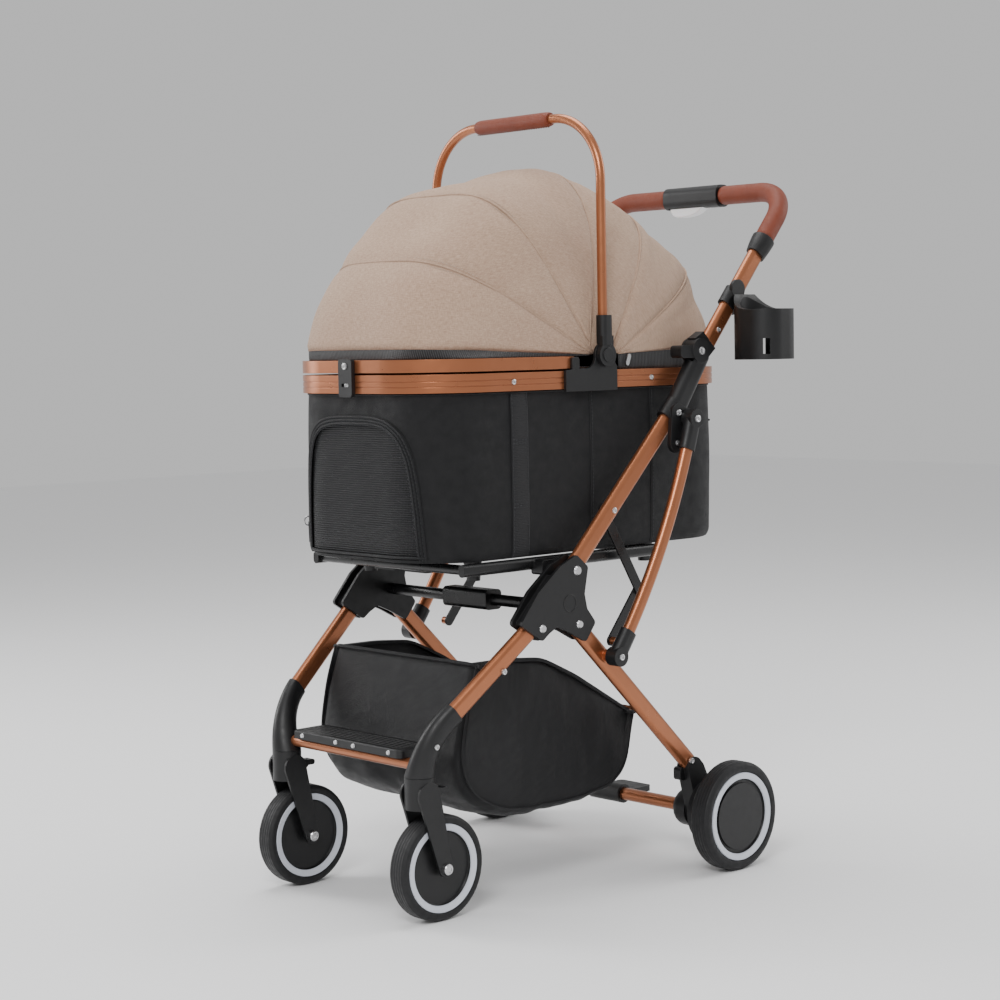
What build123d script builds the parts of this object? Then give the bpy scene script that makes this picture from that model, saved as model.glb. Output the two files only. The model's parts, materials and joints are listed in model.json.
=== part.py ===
"""Folding pet stroller with a lift-off carrier, modelled as separate moving pieces.

Millimetres, +Z up, -Y is the front, origin on the floor under the middle of the stroller.
"""

import os
from math import cos, radians, sin

from build123d import *

os.makedirs("parts", exist_ok=True)

# ---- driving dimensions ----
FRAME_X = 200  # middle plane of each side frame
TUBE_TALL, TUBE_WIDE, WALL = 28, 16, 1.5  # flattened frame tube
SLACK = 0.3  # gap between pieces that pass each other
PIN_FIT = 0.05  # radial clearance of a hinge pin

# Side frame pivots, as (y, z)
HUB_PIVOT = (-112, 476)  # lower handle tube turns here
LEG_PIVOT = (-109, 398)  # rear leg turns here
BRACE_TOP = (120, 686)  # curved brace on the handle joint
BRACE_FOOT = (-50, 346)  # curved brace on the rear leg
HANDLE_PIVOT = (161, 787)  # upper handle tube turns here
LINK_TOP, LINK_ELBOW, LINK_FOOT = (-29, 557), (46, 432), (-12, 361)

LOWER_TUBE_END = (93, 684)
UPPER_TUBE_START, UPPER_TUBE_END = (188, 799), (306, 938)
BAR_Y, BAR_Z, BAR_BEND, BAR_R = 390, 1037, 62, 9.5
LEG_TOP, LEG_BOTTOM = (199.5, -198, 397), (178.3, -323, 293.6)
REAR_LEG_END = (133, 160)

# Wheels
CASTER_X, CASTER_Y, SEAM_Z, CASTER_R = 151, -366, 207, 21.5
FRONT_R, FRONT_Y, FRONT_WIDE = 75, -338, 32
REAR_R, REAR_X, REAR_Y, REAR_WIDE = 82.5, 264, 164, 34

# Carrier
RIM_X, RIM_FRONT, RIM_BACK, RIM_CORNER = 178.5, -353, 291, 110
RIM_LOW, RIM_HIGH, RIM_THICK = 736, 762, 10
HOOP_LOW, HOOP_HIGH = 765, 783
HOOP_PIVOT = (-78, 774)
BAG_FLOOR, BAG_WALL = 497, 3
ARCH_X, ARCH_Y, ARCH_PIVOT_Z, ARCH_TOP, ARCH_BEND, ARCH_R = 181, -20, 784, 1135, 95, 7
HEM_Z = 764

# Cup holder
CUP_X, CUP_Y, CUP_SIDE, CUP_BORE = 253, 259, 84, 36
CUP_LOW, CUP_FRONT, CUP_HIGH = 772, 848, 872


def save(piece, name):
    piece.label = name
    export_step(piece, f"parts/{name}.step")


def save_pair(piece, name):
    """Writes the right-hand piece and its mirror image as two nodes."""
    save(piece, f"{name}_right")
    save(mirror(piece, about=Plane.YZ), f"{name}_left")


def save_both(piece, name):
    """Writes the right-hand piece and its mirror image as one node."""
    save(Compound(children=[*piece.solids(), *mirror(piece, about=Plane.YZ).solids()]), name)


def side(point, x=FRAME_X):
    """A (y, z) point of the side frame as a 3-D point."""
    return Vector(x, *point)


def along(start, end, distance):
    """The point at a distance along the line from start to end."""
    start, end = Vector(*start), Vector(*end)
    return start + (end - start).normalized() * distance


def tube_between(start, end, tall=TUBE_TALL, wide=TUBE_WIDE, wall=WALL):
    """Straight flattened tube, solid where wall is 0, with its tall side in the side plane."""
    run = Vector(*end) - Vector(*start)
    with BuildPart() as tube:
        with BuildSketch(Plane(origin=start, x_dir=(1, 0, 0), z_dir=run)):
            SlotOverall(tall, wide, rotation=90)
            if wall:
                SlotOverall(tall - 2 * wall, wide - 2 * wall, rotation=90, mode=Mode.SUBTRACT)
        extrude(amount=run.length)
    return tube.part


def bar_across(point, radius, low, high):
    """Round bar along X through a (y, z) point, from x = low to x = high."""
    with BuildPart() as bar:
        with BuildSketch(Plane.YZ.offset(low)):
            with Locations(point):
                Circle(radius)
        extrude(amount=high - low)
    return bar.part


def plate_through(points, radii, low, high):
    """Plate from x = low to x = high whose outline wraps circles at (y, z) points."""
    with BuildPart() as plate:
        with BuildSketch(Plane.YZ.offset(low)):
            for point, radius in zip(points, radii):
                with Locations(point):
                    Circle(radius)
            make_hull()
        extrude(amount=high - low)
    return plate.part


# ---- hubs ----
HUB_OUTLINE = [
    (-113, 499), (-90, 480), (-98, 441), (-93, 419), (-76, 398), (-97, 371), (-129, 388),
    (-154, 399), (-170, 391), (-184, 381), (-226, 408), (-190, 451), (-146, 485),
]
front_leg_envelope = tube_between(LEG_TOP, LEG_BOTTOM, wall=0)
with BuildPart() as hub:
    for low in (FRAME_X - 13, FRAME_X + 8):
        with BuildSketch(Plane.YZ.offset(low)):
            Polygon(*HUB_OUTLINE, align=None)
            fillet(vertices(), 6)
        extrude(amount=5)
    with BuildSketch(Plane.YZ.offset(FRAME_X - 8)):
        Polygon((-217, 408), (-188, 381), (-172, 392), (-160, 404), (-146, 480), align=None)
        fillet(vertices(), 4)
    extrude(amount=16)
    with Locations(side(HUB_PIVOT)):
        Cylinder(24, 2 * 8, rotation=(0, 90, 0), mode=Mode.SUBTRACT)
    add(bar_across(HUB_PIVOT, 4, FRAME_X - 13, FRAME_X + 13))
    add(bar_across(LEG_PIVOT, 4, FRAME_X - 13, FRAME_X + 13))
    with BuildSketch(Plane.YZ.offset(FRAME_X + 13)):
        with Locations((-128, 430)):
            Circle(13)
            Circle(11.5, mode=Mode.SUBTRACT)
    extrude(amount=0.6)
    add(front_leg_envelope, mode=Mode.SUBTRACT)
save_pair(hub.part, "hub")

with BuildPart() as hub_crossbar:
    add(bar_across((-125, 423), 8.75, -FRAME_X + 13, FRAME_X - 13))
    with BuildSketch(Plane.YZ.offset(-48)):
        with Locations((-125, 423)):
            RectangleRounded(32, 30, 7)
    extrude(amount=96)
save(hub_crossbar.part, "hub_crossbar")

# ---- front legs, knees and step ----
with BuildPart() as front_leg:
    add(tube_between(LEG_TOP, LEG_BOTTOM))
save_both(front_leg.part, "front_legs")

STEP_BAR = (-361, 221)
with BuildPart() as knee:
    with BuildSketch(Plane(LEG_BOTTOM, x_dir=(1, 0, 0), z_dir=(-21, -125, -103))):
        SlotOverall(33, 21, rotation=90)
    with BuildSketch(Plane((165, -355, 256), x_dir=(1, 0, 0), z_dir=(-12, -22, -45))):
        Ellipse(14.5, 17.5)
    with BuildSketch(Plane((CASTER_X, CASTER_Y, SEAM_Z), x_dir=(1, 0, 0), z_dir=(0, 0, -1))):
        Circle(CASTER_R)
    loft()
    add(front_leg_envelope, mode=Mode.SUBTRACT)
    with BuildSketch(Plane.XY.offset(SEAM_Z)):
        with Locations((CASTER_X, CASTER_Y)):
            Circle(5 + PIN_FIT)
    extrude(amount=30, mode=Mode.SUBTRACT)
    add(bar_across(STEP_BAR, 8, 100, CASTER_X - 8), mode=Mode.SUBTRACT)
save_both(knee.part, "knees")

with BuildPart() as step_crossbar:
    add(bar_across(STEP_BAR, 8, -CASTER_X + 8, CASTER_X - 8))
    add(bar_across(STEP_BAR, 6.5, -CASTER_X + 8, CASTER_X - 8), mode=Mode.SUBTRACT)
save(step_crossbar.part, "step_crossbar")

with BuildPart() as step_plate:
    with BuildSketch(Plane.XY.offset(229)):
        with Locations((0, -346)):
            RectangleRounded(246, 62, 9)
    extrude(amount=12)
    chamfer(faces().sort_by(Axis.Z)[-1].edges(), 1.5)
    with BuildSketch(Plane.XY.offset(239.5)):
        with Locations((0, -346)):
            with GridLocations(0, 8, 1, 6):
                SlotOverall(226, 3)
    extrude(amount=2, mode=Mode.SUBTRACT)
save(step_plate.part, "step_plate")

# ---- seat frame that the carrier docks on ----
SEAT_X, SEAT_Z = 164, 487
with BuildPart() as seat_frame:
    for x in (-SEAT_X, SEAT_X):
        add(tube_between((x, -292, SEAT_Z), (x, 118, SEAT_Z), 18, 12, 0))
    for y in (-280, 102):
        add(bar_across((y, SEAT_Z), 7, -SEAT_X, SEAT_X))
    for x in (-FRAME_X + 13, SEAT_X):
        with BuildSketch(Plane.YZ.offset(x)):
            with Locations((-135, 482)):
                RectangleRounded(44, 22, 5)
        extrude(amount=FRAME_X - 13 - SEAT_X)
save(seat_frame.part, "seat_frame")

with BuildPart() as frame_rivets:
    for point, radius, x in (
        (HUB_PIVOT, 7, FRAME_X + 13),
        (LEG_PIVOT, 6, FRAME_X + 13),
        ((-183, 399), 6, FRAME_X + 13),
    ):
        with BuildSketch(Plane.YZ.offset(x)):
            with Locations(point):
                Circle(radius)
        extrude(amount=2.4, taper=30)
    for x in (98, 20):
        with BuildSketch(Plane.XZ.offset(377)):
            with Locations((x, 235)):
                Circle(3.6)
        extrude(amount=1.8, taper=25)
save_both(frame_rivets.part, "frame_rivets")

# ---- lower handle tubes and their joints ----
lower_start, lower_end = side(HUB_PIVOT), side(LOWER_TUBE_END)
tube_heel = along(lower_start, lower_end, -12)
with BuildPart() as main_tube:
    add(tube_between(tube_heel, lower_end))
    add(bar_across(HUB_PIVOT, 7, FRAME_X - 7, FRAME_X + 7))
    add(bar_across(HUB_PIVOT, 4 + PIN_FIT, FRAME_X - 9, FRAME_X + 9), mode=Mode.SUBTRACT)
    add(bar_across(LINK_TOP, 4, 182, FRAME_X - 7))
save_pair(main_tube.part, "main_tube")

joint_bend = along(lower_start, lower_end, (lower_end - lower_start).length + 32)
with BuildPart() as handle_joint:
    add(tube_between(lower_end, joint_bend, 37, 24, 0))
    add(tube_between(along(joint_bend, side(HANDLE_PIVOT), -12), side((170, 782)), 36, 24, 0))
    with Locations(side(HANDLE_PIVOT)):
        Cylinder(19, 26, rotation=(0, 90, 0))
    with BuildSketch(Plane.YZ.offset(FRAME_X - 11)):
        with Locations((139, 786)):
            RectangleRounded(44, 19, 6)
    extrude(amount=22)
    with Locations(side(HANDLE_PIVOT)):
        Cylinder(22.5, 18, rotation=(0, 90, 0), mode=Mode.SUBTRACT)
    with BuildSketch(Plane.YZ.offset(FRAME_X - 9)):
        Polygon((160, 792), (146, 830), (230, 830), (205, 752), (172, 766), align=None)
    extrude(amount=18, mode=Mode.SUBTRACT)
    add(bar_across(HANDLE_PIVOT, 4, FRAME_X - 13, FRAME_X + 13))
    add(plate_through([(104, 695), BRACE_TOP, (101, 650)], [14, 15, 15], FRAME_X + 9, FRAME_X + 16))
    add(bar_across(BRACE_TOP, 5, FRAME_X + 16, FRAME_X + 39.5))
save_both(handle_joint.part, "handle_joints")

# ---- upper handle tube, grips and squeeze lever ----
upper_start, upper_end = side(UPPER_TUBE_START), side(UPPER_TUBE_END)
bar_corner = Vector(FRAME_X, BAR_Y, BAR_Z)


def handlebar(radius, bore, trim):
    """Round bar along the bent top of the handle, cut off trim past each side tube."""
    first = along(upper_end, bar_corner, trim)
    last = Vector(-first.X, first.Y, first.Z)
    with BuildPart() as bar:
        with BuildLine() as path:
            FilletPolyline(first, bar_corner, (-FRAME_X, BAR_Y, BAR_Z), last, radius=BAR_BEND)
        with BuildSketch(Plane(origin=first, x_dir=(1, 0, 0), z_dir=bar_corner - first)):
            Circle(radius)
            if bore:
                Circle(bore, mode=Mode.SUBTRACT)
        sweep(path=path.wires()[0])
    return bar.part


with BuildPart() as handle_tube:
    add(handlebar(BAR_R, BAR_R - WALL, 0))
    for x in (FRAME_X, -FRAME_X):
        add(tube_between(side(UPPER_TUBE_START, x), side(UPPER_TUBE_END, x)))
save(handle_tube.part, "handle_tube")

with BuildPart() as grips:
    add(handlebar(15.5, BAR_R + 0.1, 26))
    with Locations((0, BAR_Y, BAR_Z)):
        Box(118, 60, 60, mode=Mode.SUBTRACT)
save(grips.part, "grips")

with BuildPart() as collar:
    for distance, tall, wide in ((-6, 33, 24), (12, 36, 33), (25.5, 37, 36)):
        with BuildSketch(Plane(along(upper_end, bar_corner, distance), x_dir=(1, 0, 0), z_dir=bar_corner - upper_end)):
            SlotOverall(tall, wide, rotation=90)
    loft()
    add(tube_between(upper_start, upper_end, wall=0), mode=Mode.SUBTRACT)
    add(handlebar(BAR_R, 0, -1), mode=Mode.SUBTRACT)
save_both(collar.part, "handle_collars")

with BuildPart() as handle_centre:
    with BuildSketch(Plane.YZ.offset(-58)):
        with Locations((BAR_Y, BAR_Z)):
            RectangleRounded(34, 36, 13)
    extrude(amount=116)
    with BuildSketch(Plane.YZ.offset(-58)):
        with Locations((BAR_Y, BAR_Z)):
            Circle(BAR_R + 0.1)
    extrude(amount=116, mode=Mode.SUBTRACT)
    with Locations((-14, BAR_Y, BAR_Z - 14)):
        Box(76, 22, 12, mode=Mode.SUBTRACT)
save(handle_centre.part, "handle_centre")

with BuildPart() as squeeze_lever:
    with BuildSketch(Plane.XZ.offset(-BAR_Y + 9)):
        with BuildLine():
            Line((-50, BAR_Z - 16.5), (22, BAR_Z - 16.5))
            Spline((22, BAR_Z - 16.5), (4, BAR_Z - 27), (-22, BAR_Z - 31), (-44, BAR_Z - 27), (-50, BAR_Z - 16.5))
        make_face()
    extrude(amount=-18)
    fillet(edges().filter_by(GeomType.BSPLINE), 2.5)
save(squeeze_lever.part, "squeeze_lever")

tongue_end = along(upper_start, upper_end, 46)
with BuildPart() as knuckle:
    with Locations(side(HANDLE_PIVOT)):
        Cylinder(18.5, 17, rotation=(0, 90, 0))
    with BuildSketch(Plane.YZ.offset(FRAME_X - 8)):
        Polygon(HANDLE_PIVOT, (152, 806), (171, 816), UPPER_TUBE_START, (198, 790), (176, 772), align=None)
    extrude(amount=16)
    add(tube_between(upper_start, tongue_end, wall=0), mode=Mode.SUBTRACT)
    add(tube_between(along(upper_start, upper_end, -6), tongue_end, TUBE_TALL - 3.2, TUBE_WIDE - 3.2, 0))
    add(bar_across(HANDLE_PIVOT, 4 + PIN_FIT, FRAME_X - 9, FRAME_X + 9), mode=Mode.SUBTRACT)
save_both(knuckle.part, "handle_knuckles")

clamp_middle = side((243, 863.7))
with BuildPart() as cup_clamp:
    add(tube_between(along(clamp_middle, upper_end, -15), along(clamp_middle, upper_end, 15), 36, 20.5, 0))
    with BuildSketch(Plane.YZ.offset(FRAME_X + 5)):
        with Locations((250, 880)):
            Circle(15)
        with Locations((CUP_Y, 855)):
            Rectangle(20, 22)
    extrude(amount=5.6)
    with Locations((CUP_X - CUP_SIDE / 2, CUP_Y, 853)):
        Box(5, 12, 18)
    add(tube_between(upper_start, upper_end, wall=0), mode=Mode.SUBTRACT)
save(cup_clamp.part, "cup_clamp")

# ---- cup holder ----
with BuildPart() as cup_holder:
    with BuildSketch(Plane.XY.offset(CUP_LOW)):
        with Locations((CUP_X, CUP_Y)):
            RectangleRounded(CUP_SIDE, CUP_SIDE, 34)
    extrude(amount=CUP_HIGH - CUP_LOW)
    with BuildSketch(Plane.XY.offset(CUP_LOW + 5)):
        with Locations((CUP_X, CUP_Y)):
            Circle(CUP_BORE)
    extrude(amount=CUP_HIGH, mode=Mode.SUBTRACT)
    with BuildSketch(Plane.XZ.offset(-CUP_Y - 60)):
        with BuildLine():
            Spline((215, CUP_HIGH), (238, CUP_FRONT + 3), (262, CUP_FRONT), (300, CUP_FRONT))
            Polyline((300, CUP_FRONT), (300, CUP_HIGH + 5), (215, CUP_HIGH + 5), (215, CUP_HIGH))
        make_face()
    extrude(amount=120, mode=Mode.SUBTRACT)
    with Locations((CUP_X, CUP_Y, CUP_LOW + 20)):
        for turn in (45, 135):
            Box(11, 120, 24, rotation=(0, 0, turn), mode=Mode.SUBTRACT)
    with Locations((CUP_X - CUP_SIDE / 2, CUP_Y, (CUP_LOW + 862) / 2)):
        Box(5 + 2 * SLACK, 12 + 2 * SLACK, 862 - CUP_LOW + 2 * SLACK, mode=Mode.SUBTRACT)
save(cup_holder.part, "cup_holder")

# ---- curved braces ----
BRACE_X, BRACE_MIDDLE = 229, (51, 509)


def brace_stretch(first, last, tall, wide, wall):
    """A stretch of the curved brace between two shares of its length."""
    with BuildPart() as stretch:
        with BuildLine() as path:
            whole = ThreePointArc(side(BRACE_TOP, BRACE_X), side(BRACE_MIDDLE, BRACE_X), side(BRACE_FOOT, BRACE_X))
            piece = whole.trim(first, last)
        with BuildSketch(Plane(origin=piece @ 0, x_dir=(1, 0, 0), z_dir=piece % 0)):
            SlotOverall(tall, wide, rotation=90)
            if wall:
                SlotOverall(tall - 2 * wall, wide - 2 * wall, rotation=90, mode=Mode.SUBTRACT)
        sweep(path=piece)
    return stretch.part


with BuildPart() as brace_tube:
    add(brace_stretch(0.125, 0.89, 21, 15, WALL))
save_pair(brace_tube.part, "curved_brace")

with BuildPart() as brace_caps:
    add(brace_stretch(0.001, 0.125, 28, 20, 0))
    add(brace_stretch(0.89, 1, 28, 20, 0))
    add(bar_across(BRACE_TOP, 14, BRACE_X - 10, BRACE_X + 10))
    add(bar_across(BRACE_FOOT, 14, BRACE_X - 10, BRACE_X + 10))
    add(bar_across(BRACE_TOP, 5 + PIN_FIT, BRACE_X - 11, BRACE_X + 12), mode=Mode.SUBTRACT)
save_both(brace_caps.part, "brace_caps")

# ---- rear legs, axle and brake ----
leg_heel = along(side(LEG_PIVOT), side(REAR_LEG_END), -11)
with BuildPart() as rear_leg:
    add(tube_between(leg_heel, side(REAR_LEG_END)))
    add(bar_across(LEG_PIVOT, 7, FRAME_X - 7, FRAME_X + 7))
    add(bar_across(LEG_PIVOT, 4 + PIN_FIT, FRAME_X - 9, FRAME_X + 9), mode=Mode.SUBTRACT)
    add(bar_across(BRACE_FOOT, 9, FRAME_X + 7, BRACE_X - 10 - 0.5))
    add(bar_across(LINK_FOOT, 6, 183, FRAME_X - 7))
save_pair(rear_leg.part, "rear_leg")

AXLE = (REAR_Y, REAR_R)
with BuildPart() as rear_end:
    add(plate_through([(136, 154), (141, 146), AXLE], [15, 17, 24], FRAME_X - 12, FRAME_X + 12))
    with BuildSketch(Plane.YZ.offset(FRAME_X - 12)):
        with Locations((121, 144)):
            RectangleRounded(16, 20, 5)
    extrude(amount=14)
    add(tube_between(side(LEG_PIVOT), side(REAR_LEG_END), wall=0), mode=Mode.SUBTRACT)
    add(bar_across(AXLE, 29, 158, FRAME_X - 12))
    fillet(faces().sort_by(Axis.X)[0].edges(), 14)
    add(bar_across(AXLE, 48, FRAME_X + 12, FRAME_X + 20))
    add(bar_across(AXLE, 40, FRAME_X + 20, REAR_X - 18.5))
    add(bar_across(AXLE, 5, REAR_X - 20, REAR_X + 10))
save_both(rear_end.part, "rear_leg_ends")

with BuildPart() as rear_axle:
    add(bar_across(AXLE, 10, -158, 158))
    add(bar_across(AXLE, 8, -158, 158), mode=Mode.SUBTRACT)
save(rear_axle.part, "rear_axle")

with BuildPart() as brake_pedal:
    add(bar_across(AXLE, 15, -34, 34))
    with BuildSketch(Plane.XY.offset(REAR_R - 5)):
        with Locations((0, REAR_Y + 34)):
            RectangleRounded(68, 62, 8)
    extrude(amount=9)
    add(bar_across(AXLE, 10 + PIN_FIT, -40, 40), mode=Mode.SUBTRACT)
save(brake_pedal.part, "brake_pedal")

with BuildPart() as basket_wire:
    wire_ends = [Vector(FRAME_X - 5, 118, 175), Vector(158, 64, 247)]
    with BuildLine() as wire_path:
        FilletPolyline(
            *wire_ends, *[Vector(-p.X, p.Y, p.Z) for p in reversed(wire_ends)], radius=22
        )
    with BuildSketch(Plane(origin=wire_ends[0], z_dir=wire_ends[1] - wire_ends[0])):
        Circle(3)
    sweep(path=wire_path.wires()[0])
    for x in (FRAME_X, -FRAME_X):
        add(tube_between(side(LEG_PIVOT, x), side(REAR_LEG_END, x), wall=0), mode=Mode.SUBTRACT)
save(basket_wire.part, "basket_wire")

# ---- folding links inside the frame ----
with BuildPart() as upper_link:
    add(plate_through([LINK_TOP, LINK_ELBOW], [8, 8], 183, 186))
    add(bar_across(LINK_TOP, 4 + PIN_FIT, 180, 190), mode=Mode.SUBTRACT)
    add(bar_across(LINK_ELBOW, 3, 179, 183))
save_both(upper_link.part, "upper_links")

with BuildPart() as lower_link:
    add(plate_through([LINK_ELBOW, LINK_FOOT], [8, 8], 179.5, 182.5))
    add(bar_across(LINK_ELBOW, 3 + PIN_FIT, 178, 184), mode=Mode.SUBTRACT)
save_both(lower_link.part, "lower_links")


# ---- wheels ----
def tyre(x, y, radius, wide, depth):
    with BuildPart() as ring:
        with BuildSketch(Plane.XZ.offset(-y)):
            with Locations((x, 2 * radius - depth / 2)):
                RectangleRounded(wide, depth, depth * 0.42)
        revolve(axis=Axis((x, y, radius), (1, 0, 0)))
    return ring.part


def wheel_disc(x, y, radius, wide, bore, outward):
    """Dished disc inside the tyre, with a hub bore and a shallow cap on its outward face."""
    rim = radius
    with BuildPart() as disc:
        add(bar_across((y, 0), rim, x - wide / 2, x + wide / 2))
        for face in (-1, 1):
            with BuildSketch(Plane.YZ.offset(x + face * wide / 2)):
                with Locations((y, 0)):
                    Circle(rim - 7)
            extrude(amount=-face * 4, taper=28, mode=Mode.SUBTRACT)
        add(bar_across((y, 0), bore, x - wide, x + wide), mode=Mode.SUBTRACT)
        if outward:
            low, high = sorted((x + outward * (wide / 2 - 4), x + outward * (wide / 2 - 1)))
            add(bar_across((y, 0), rim - 14, low, high))
    return disc.part


for name, sign in (("right", 1), ("left", -1)):
    with BuildPart() as front_tyre:
        add(tyre(sign * CASTER_X, FRONT_Y, FRONT_R, FRONT_WIDE, 15))
    save(front_tyre.part, f"front_tyre_{name}")
    with BuildPart() as front_wheel:
        add(Pos(0, 0, FRONT_R) * wheel_disc(sign * CASTER_X, FRONT_Y, FRONT_R - 15, 26, 4 + PIN_FIT, 0))
    save(front_wheel.part, f"front_wheel_{name}")
    with BuildPart() as rear_tyre:
        add(tyre(sign * REAR_X, REAR_Y, REAR_R, REAR_WIDE, 18))
    save(rear_tyre.part, f"rear_tyre_{name}")
    with BuildPart() as rear_wheel:
        add(Pos(0, 0, REAR_R) * wheel_disc(sign * REAR_X, REAR_Y, REAR_R - 18, 30, 5 + PIN_FIT, sign))
    save(rear_wheel.part, f"rear_wheel_{name}")

# ---- caster forks and swivel locks ----
with BuildPart() as fork:
    with BuildSketch(Plane.XY.offset(162)):
        with Locations((CASTER_X, CASTER_Y)):
            Circle(CASTER_R)
    extrude(amount=SEAM_Z - 0.5 - 162)
    for low in (CASTER_X - 21.5, CASTER_X + 17.5):
        add(plate_through([(CASTER_Y, 182), (CASTER_Y + 4, 166), (FRONT_Y, FRONT_R)], [19, 17, 12], low, low + 4))
    with Locations((CASTER_X, FRONT_Y, FRONT_R)):
        Cylinder(FRONT_R + 3, 35, rotation=(0, 90, 0), mode=Mode.SUBTRACT)
    add(bar_across((FRONT_Y, FRONT_R), 4, CASTER_X - 21.5, CASTER_X + 21.5))
    with BuildSketch(Plane.XY.offset(SEAM_Z - 1)):
        with Locations((CASTER_X, CASTER_Y)):
            Circle(5)
    extrude(amount=28)
    for low in (CASTER_X - 11.5, CASTER_X + 8.5):
        with BuildSketch(Plane.YZ.offset(low)):
            with Locations((CASTER_Y + 22, 183)):
                RectangleRounded(18, 12, 4)
        extrude(amount=3)
    add(bar_across((CASTER_Y + 26, 183), 2, CASTER_X - 11, CASTER_X + 11))
save_pair(fork.part, "caster_fork")

with BuildPart() as swivel_lock:
    with BuildSketch(Plane.YZ.offset(CASTER_X - 8)):
        with Locations((CASTER_Y + 34, 183)):
            RectangleRounded(24, 8, 3.5)
    extrude(amount=16)
    add(bar_across((CASTER_Y + 26, 183), 2 + PIN_FIT, CASTER_X - 9, CASTER_X + 9), mode=Mode.SUBTRACT)
save_pair(swivel_lock.part, "swivel_lock")

# ---- storage basket ----
BASKET_X, BASKET_WALL = 160, 2.5
BASKET_SIDE = [
    (-262, 352), (-300, 218), (-268, 150), (-215, 122), (-60, 120), (40, 150), (42, 205),
    (58, 243), (-112, 342), (-135, 345),
]
with BuildPart() as storage_basket:
    with BuildSketch(Plane.YZ.offset(-BASKET_X)):
        Polygon(*BASKET_SIDE, align=None)
    extrude(amount=2 * BASKET_X)
    with BuildSketch(Plane.YZ.offset(-BASKET_X + BASKET_WALL)):
        Polygon(
            (-258, 360), (-297, 218), (-266, 152), (-214, 124.5), (-60, 122.5), (37.5, 152), (39.5, 206),
            (54, 262), (-112, 360), align=None,
        )
    extrude(amount=2 * (BASKET_X - BASKET_WALL), mode=Mode.SUBTRACT)
save(storage_basket.part, "storage_basket")


# ---- carrier rim, bag and docking feet ----
def rounded_plan(inset):
    """The carrier's plan, drawn in by inset."""
    with Locations((0, (RIM_FRONT + RIM_BACK) / 2)):
        RectangleRounded(
            2 * (RIM_X - inset), RIM_BACK - RIM_FRONT - 2 * inset, RIM_CORNER - inset, mode=Mode.ADD
        )


def plan_block(inset, low, high):
    with BuildPart() as block:
        with BuildSketch(Plane.XY.offset(low)):
            rounded_plan(inset)
        extrude(amount=high - low)
    return block.part


def plan_ring(outer, inner, low, high):
    with BuildPart() as ring:
        add(plan_block(outer, low, high))
        add(plan_block(inner, low - 1, high + 1), mode=Mode.SUBTRACT)
    return ring.part


HUB_FRONT, HUB_BACK = -99, 7
with BuildPart() as carrier_rim:
    add(plan_ring(0, RIM_THICK, RIM_LOW, RIM_HIGH))
    for low in (RIM_LOW + 8, RIM_LOW + 15.5):
        add(plan_ring(-1, 1, low, low + 1.5), mode=Mode.SUBTRACT)
save(carrier_rim.part, "carrier_rim")

with BuildPart() as side_hub:
    with BuildSketch(Plane.YZ.offset(RIM_X)):
        with BuildLine():
            Polyline((HUB_FRONT, RIM_LOW - 4), (HUB_BACK, RIM_LOW - 4), (HUB_BACK, RIM_HIGH + 4))
            Line((HUB_BACK, RIM_HIGH + 4), (-2, 780))
            ThreePointArc((-2, 780), (ARCH_Y, 802), (-38, 780))
            ThreePointArc((-38, 780), (-46, 768), (-62, 765.5))
            Polyline((-62, 765.5), (HUB_FRONT, 763), (HUB_FRONT, RIM_LOW - 4))
        make_face()
    extrude(amount=5)
    add(bar_across(HOOP_PIVOT, 3, RIM_X - 12, RIM_X + 4))
    with BuildSketch(Plane.YZ.offset(RIM_X)):
        with Locations((HOOP_PIVOT[0], HOOP_PIVOT[1] - 3)):
            RectangleRounded(15, 22, 5)
    extrude(amount=4)
    add(bar_across((ARCH_Y, ARCH_PIVOT_Z), 4, RIM_X, RIM_X + 14))
save_both(side_hub.part, "side_hubs")

WINDOW_HALF, WINDOW_LOW, WINDOW_TOP, WINDOW_CORNER = 146, 504, 700, 52


def window_cutter(inset):
    """Arched block through the front wall of the bag and round its front corners."""
    half, low = WINDOW_HALF - inset, WINDOW_LOW + inset
    with BuildPart() as cutter:
        with BuildSketch(Plane.XZ.offset(290)):
            with Locations((0, (low + WINDOW_TOP - inset) / 2)):
                RectangleRounded(2 * half, WINDOW_TOP - inset - low, WINDOW_CORNER - inset)
            with Locations((0, low + 30)):
                Rectangle(2 * half, 60)
        extrude(amount=80)
    return cutter.part


with BuildPart() as bag:
    add(plan_block(7.5, BAG_FLOOR, RIM_LOW - SLACK))
    add(plan_block(RIM_THICK + 0.5, RIM_LOW - 1, RIM_HIGH + 1))
    add(plan_block(RIM_THICK + 0.5 + BAG_WALL, BAG_FLOOR + BAG_WALL, RIM_HIGH + 5), mode=Mode.SUBTRACT)
    add(window_cutter(0), mode=Mode.SUBTRACT)
save(bag.part, "bag")

with BuildPart() as window_mesh:
    add(plan_ring(8.5, 10, BAG_FLOOR, RIM_LOW - 10))
    add(window_cutter(0.3), mode=Mode.INTERSECT)
save(window_mesh.part, "window_mesh")

with BuildPart() as cushion:
    add(plan_block(RIM_THICK + 6, BAG_FLOOR + BAG_WALL, BAG_FLOOR + BAG_WALL + 26))
    fillet(edges().group_by(Axis.Z)[-1], 10)
save(cushion.part, "cushion")

with BuildPart() as bag_feet:
    with BuildSketch(Plane.XY.offset(BAG_FLOOR)):
        for y in (-225, 132):
            for x in (-115, 115):
                with Locations((x, y)):
                    Circle(13)
    extrude(amount=-32, taper=6)
    for x in (-34, 34):
        with BuildSketch(Plane.XY.offset(BAG_FLOOR)):
            with Locations((x, -256)):
                RectangleRounded(50, 20, 4)
        extrude(amount=-22)
save(bag_feet.part, "bag_feet")

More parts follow.
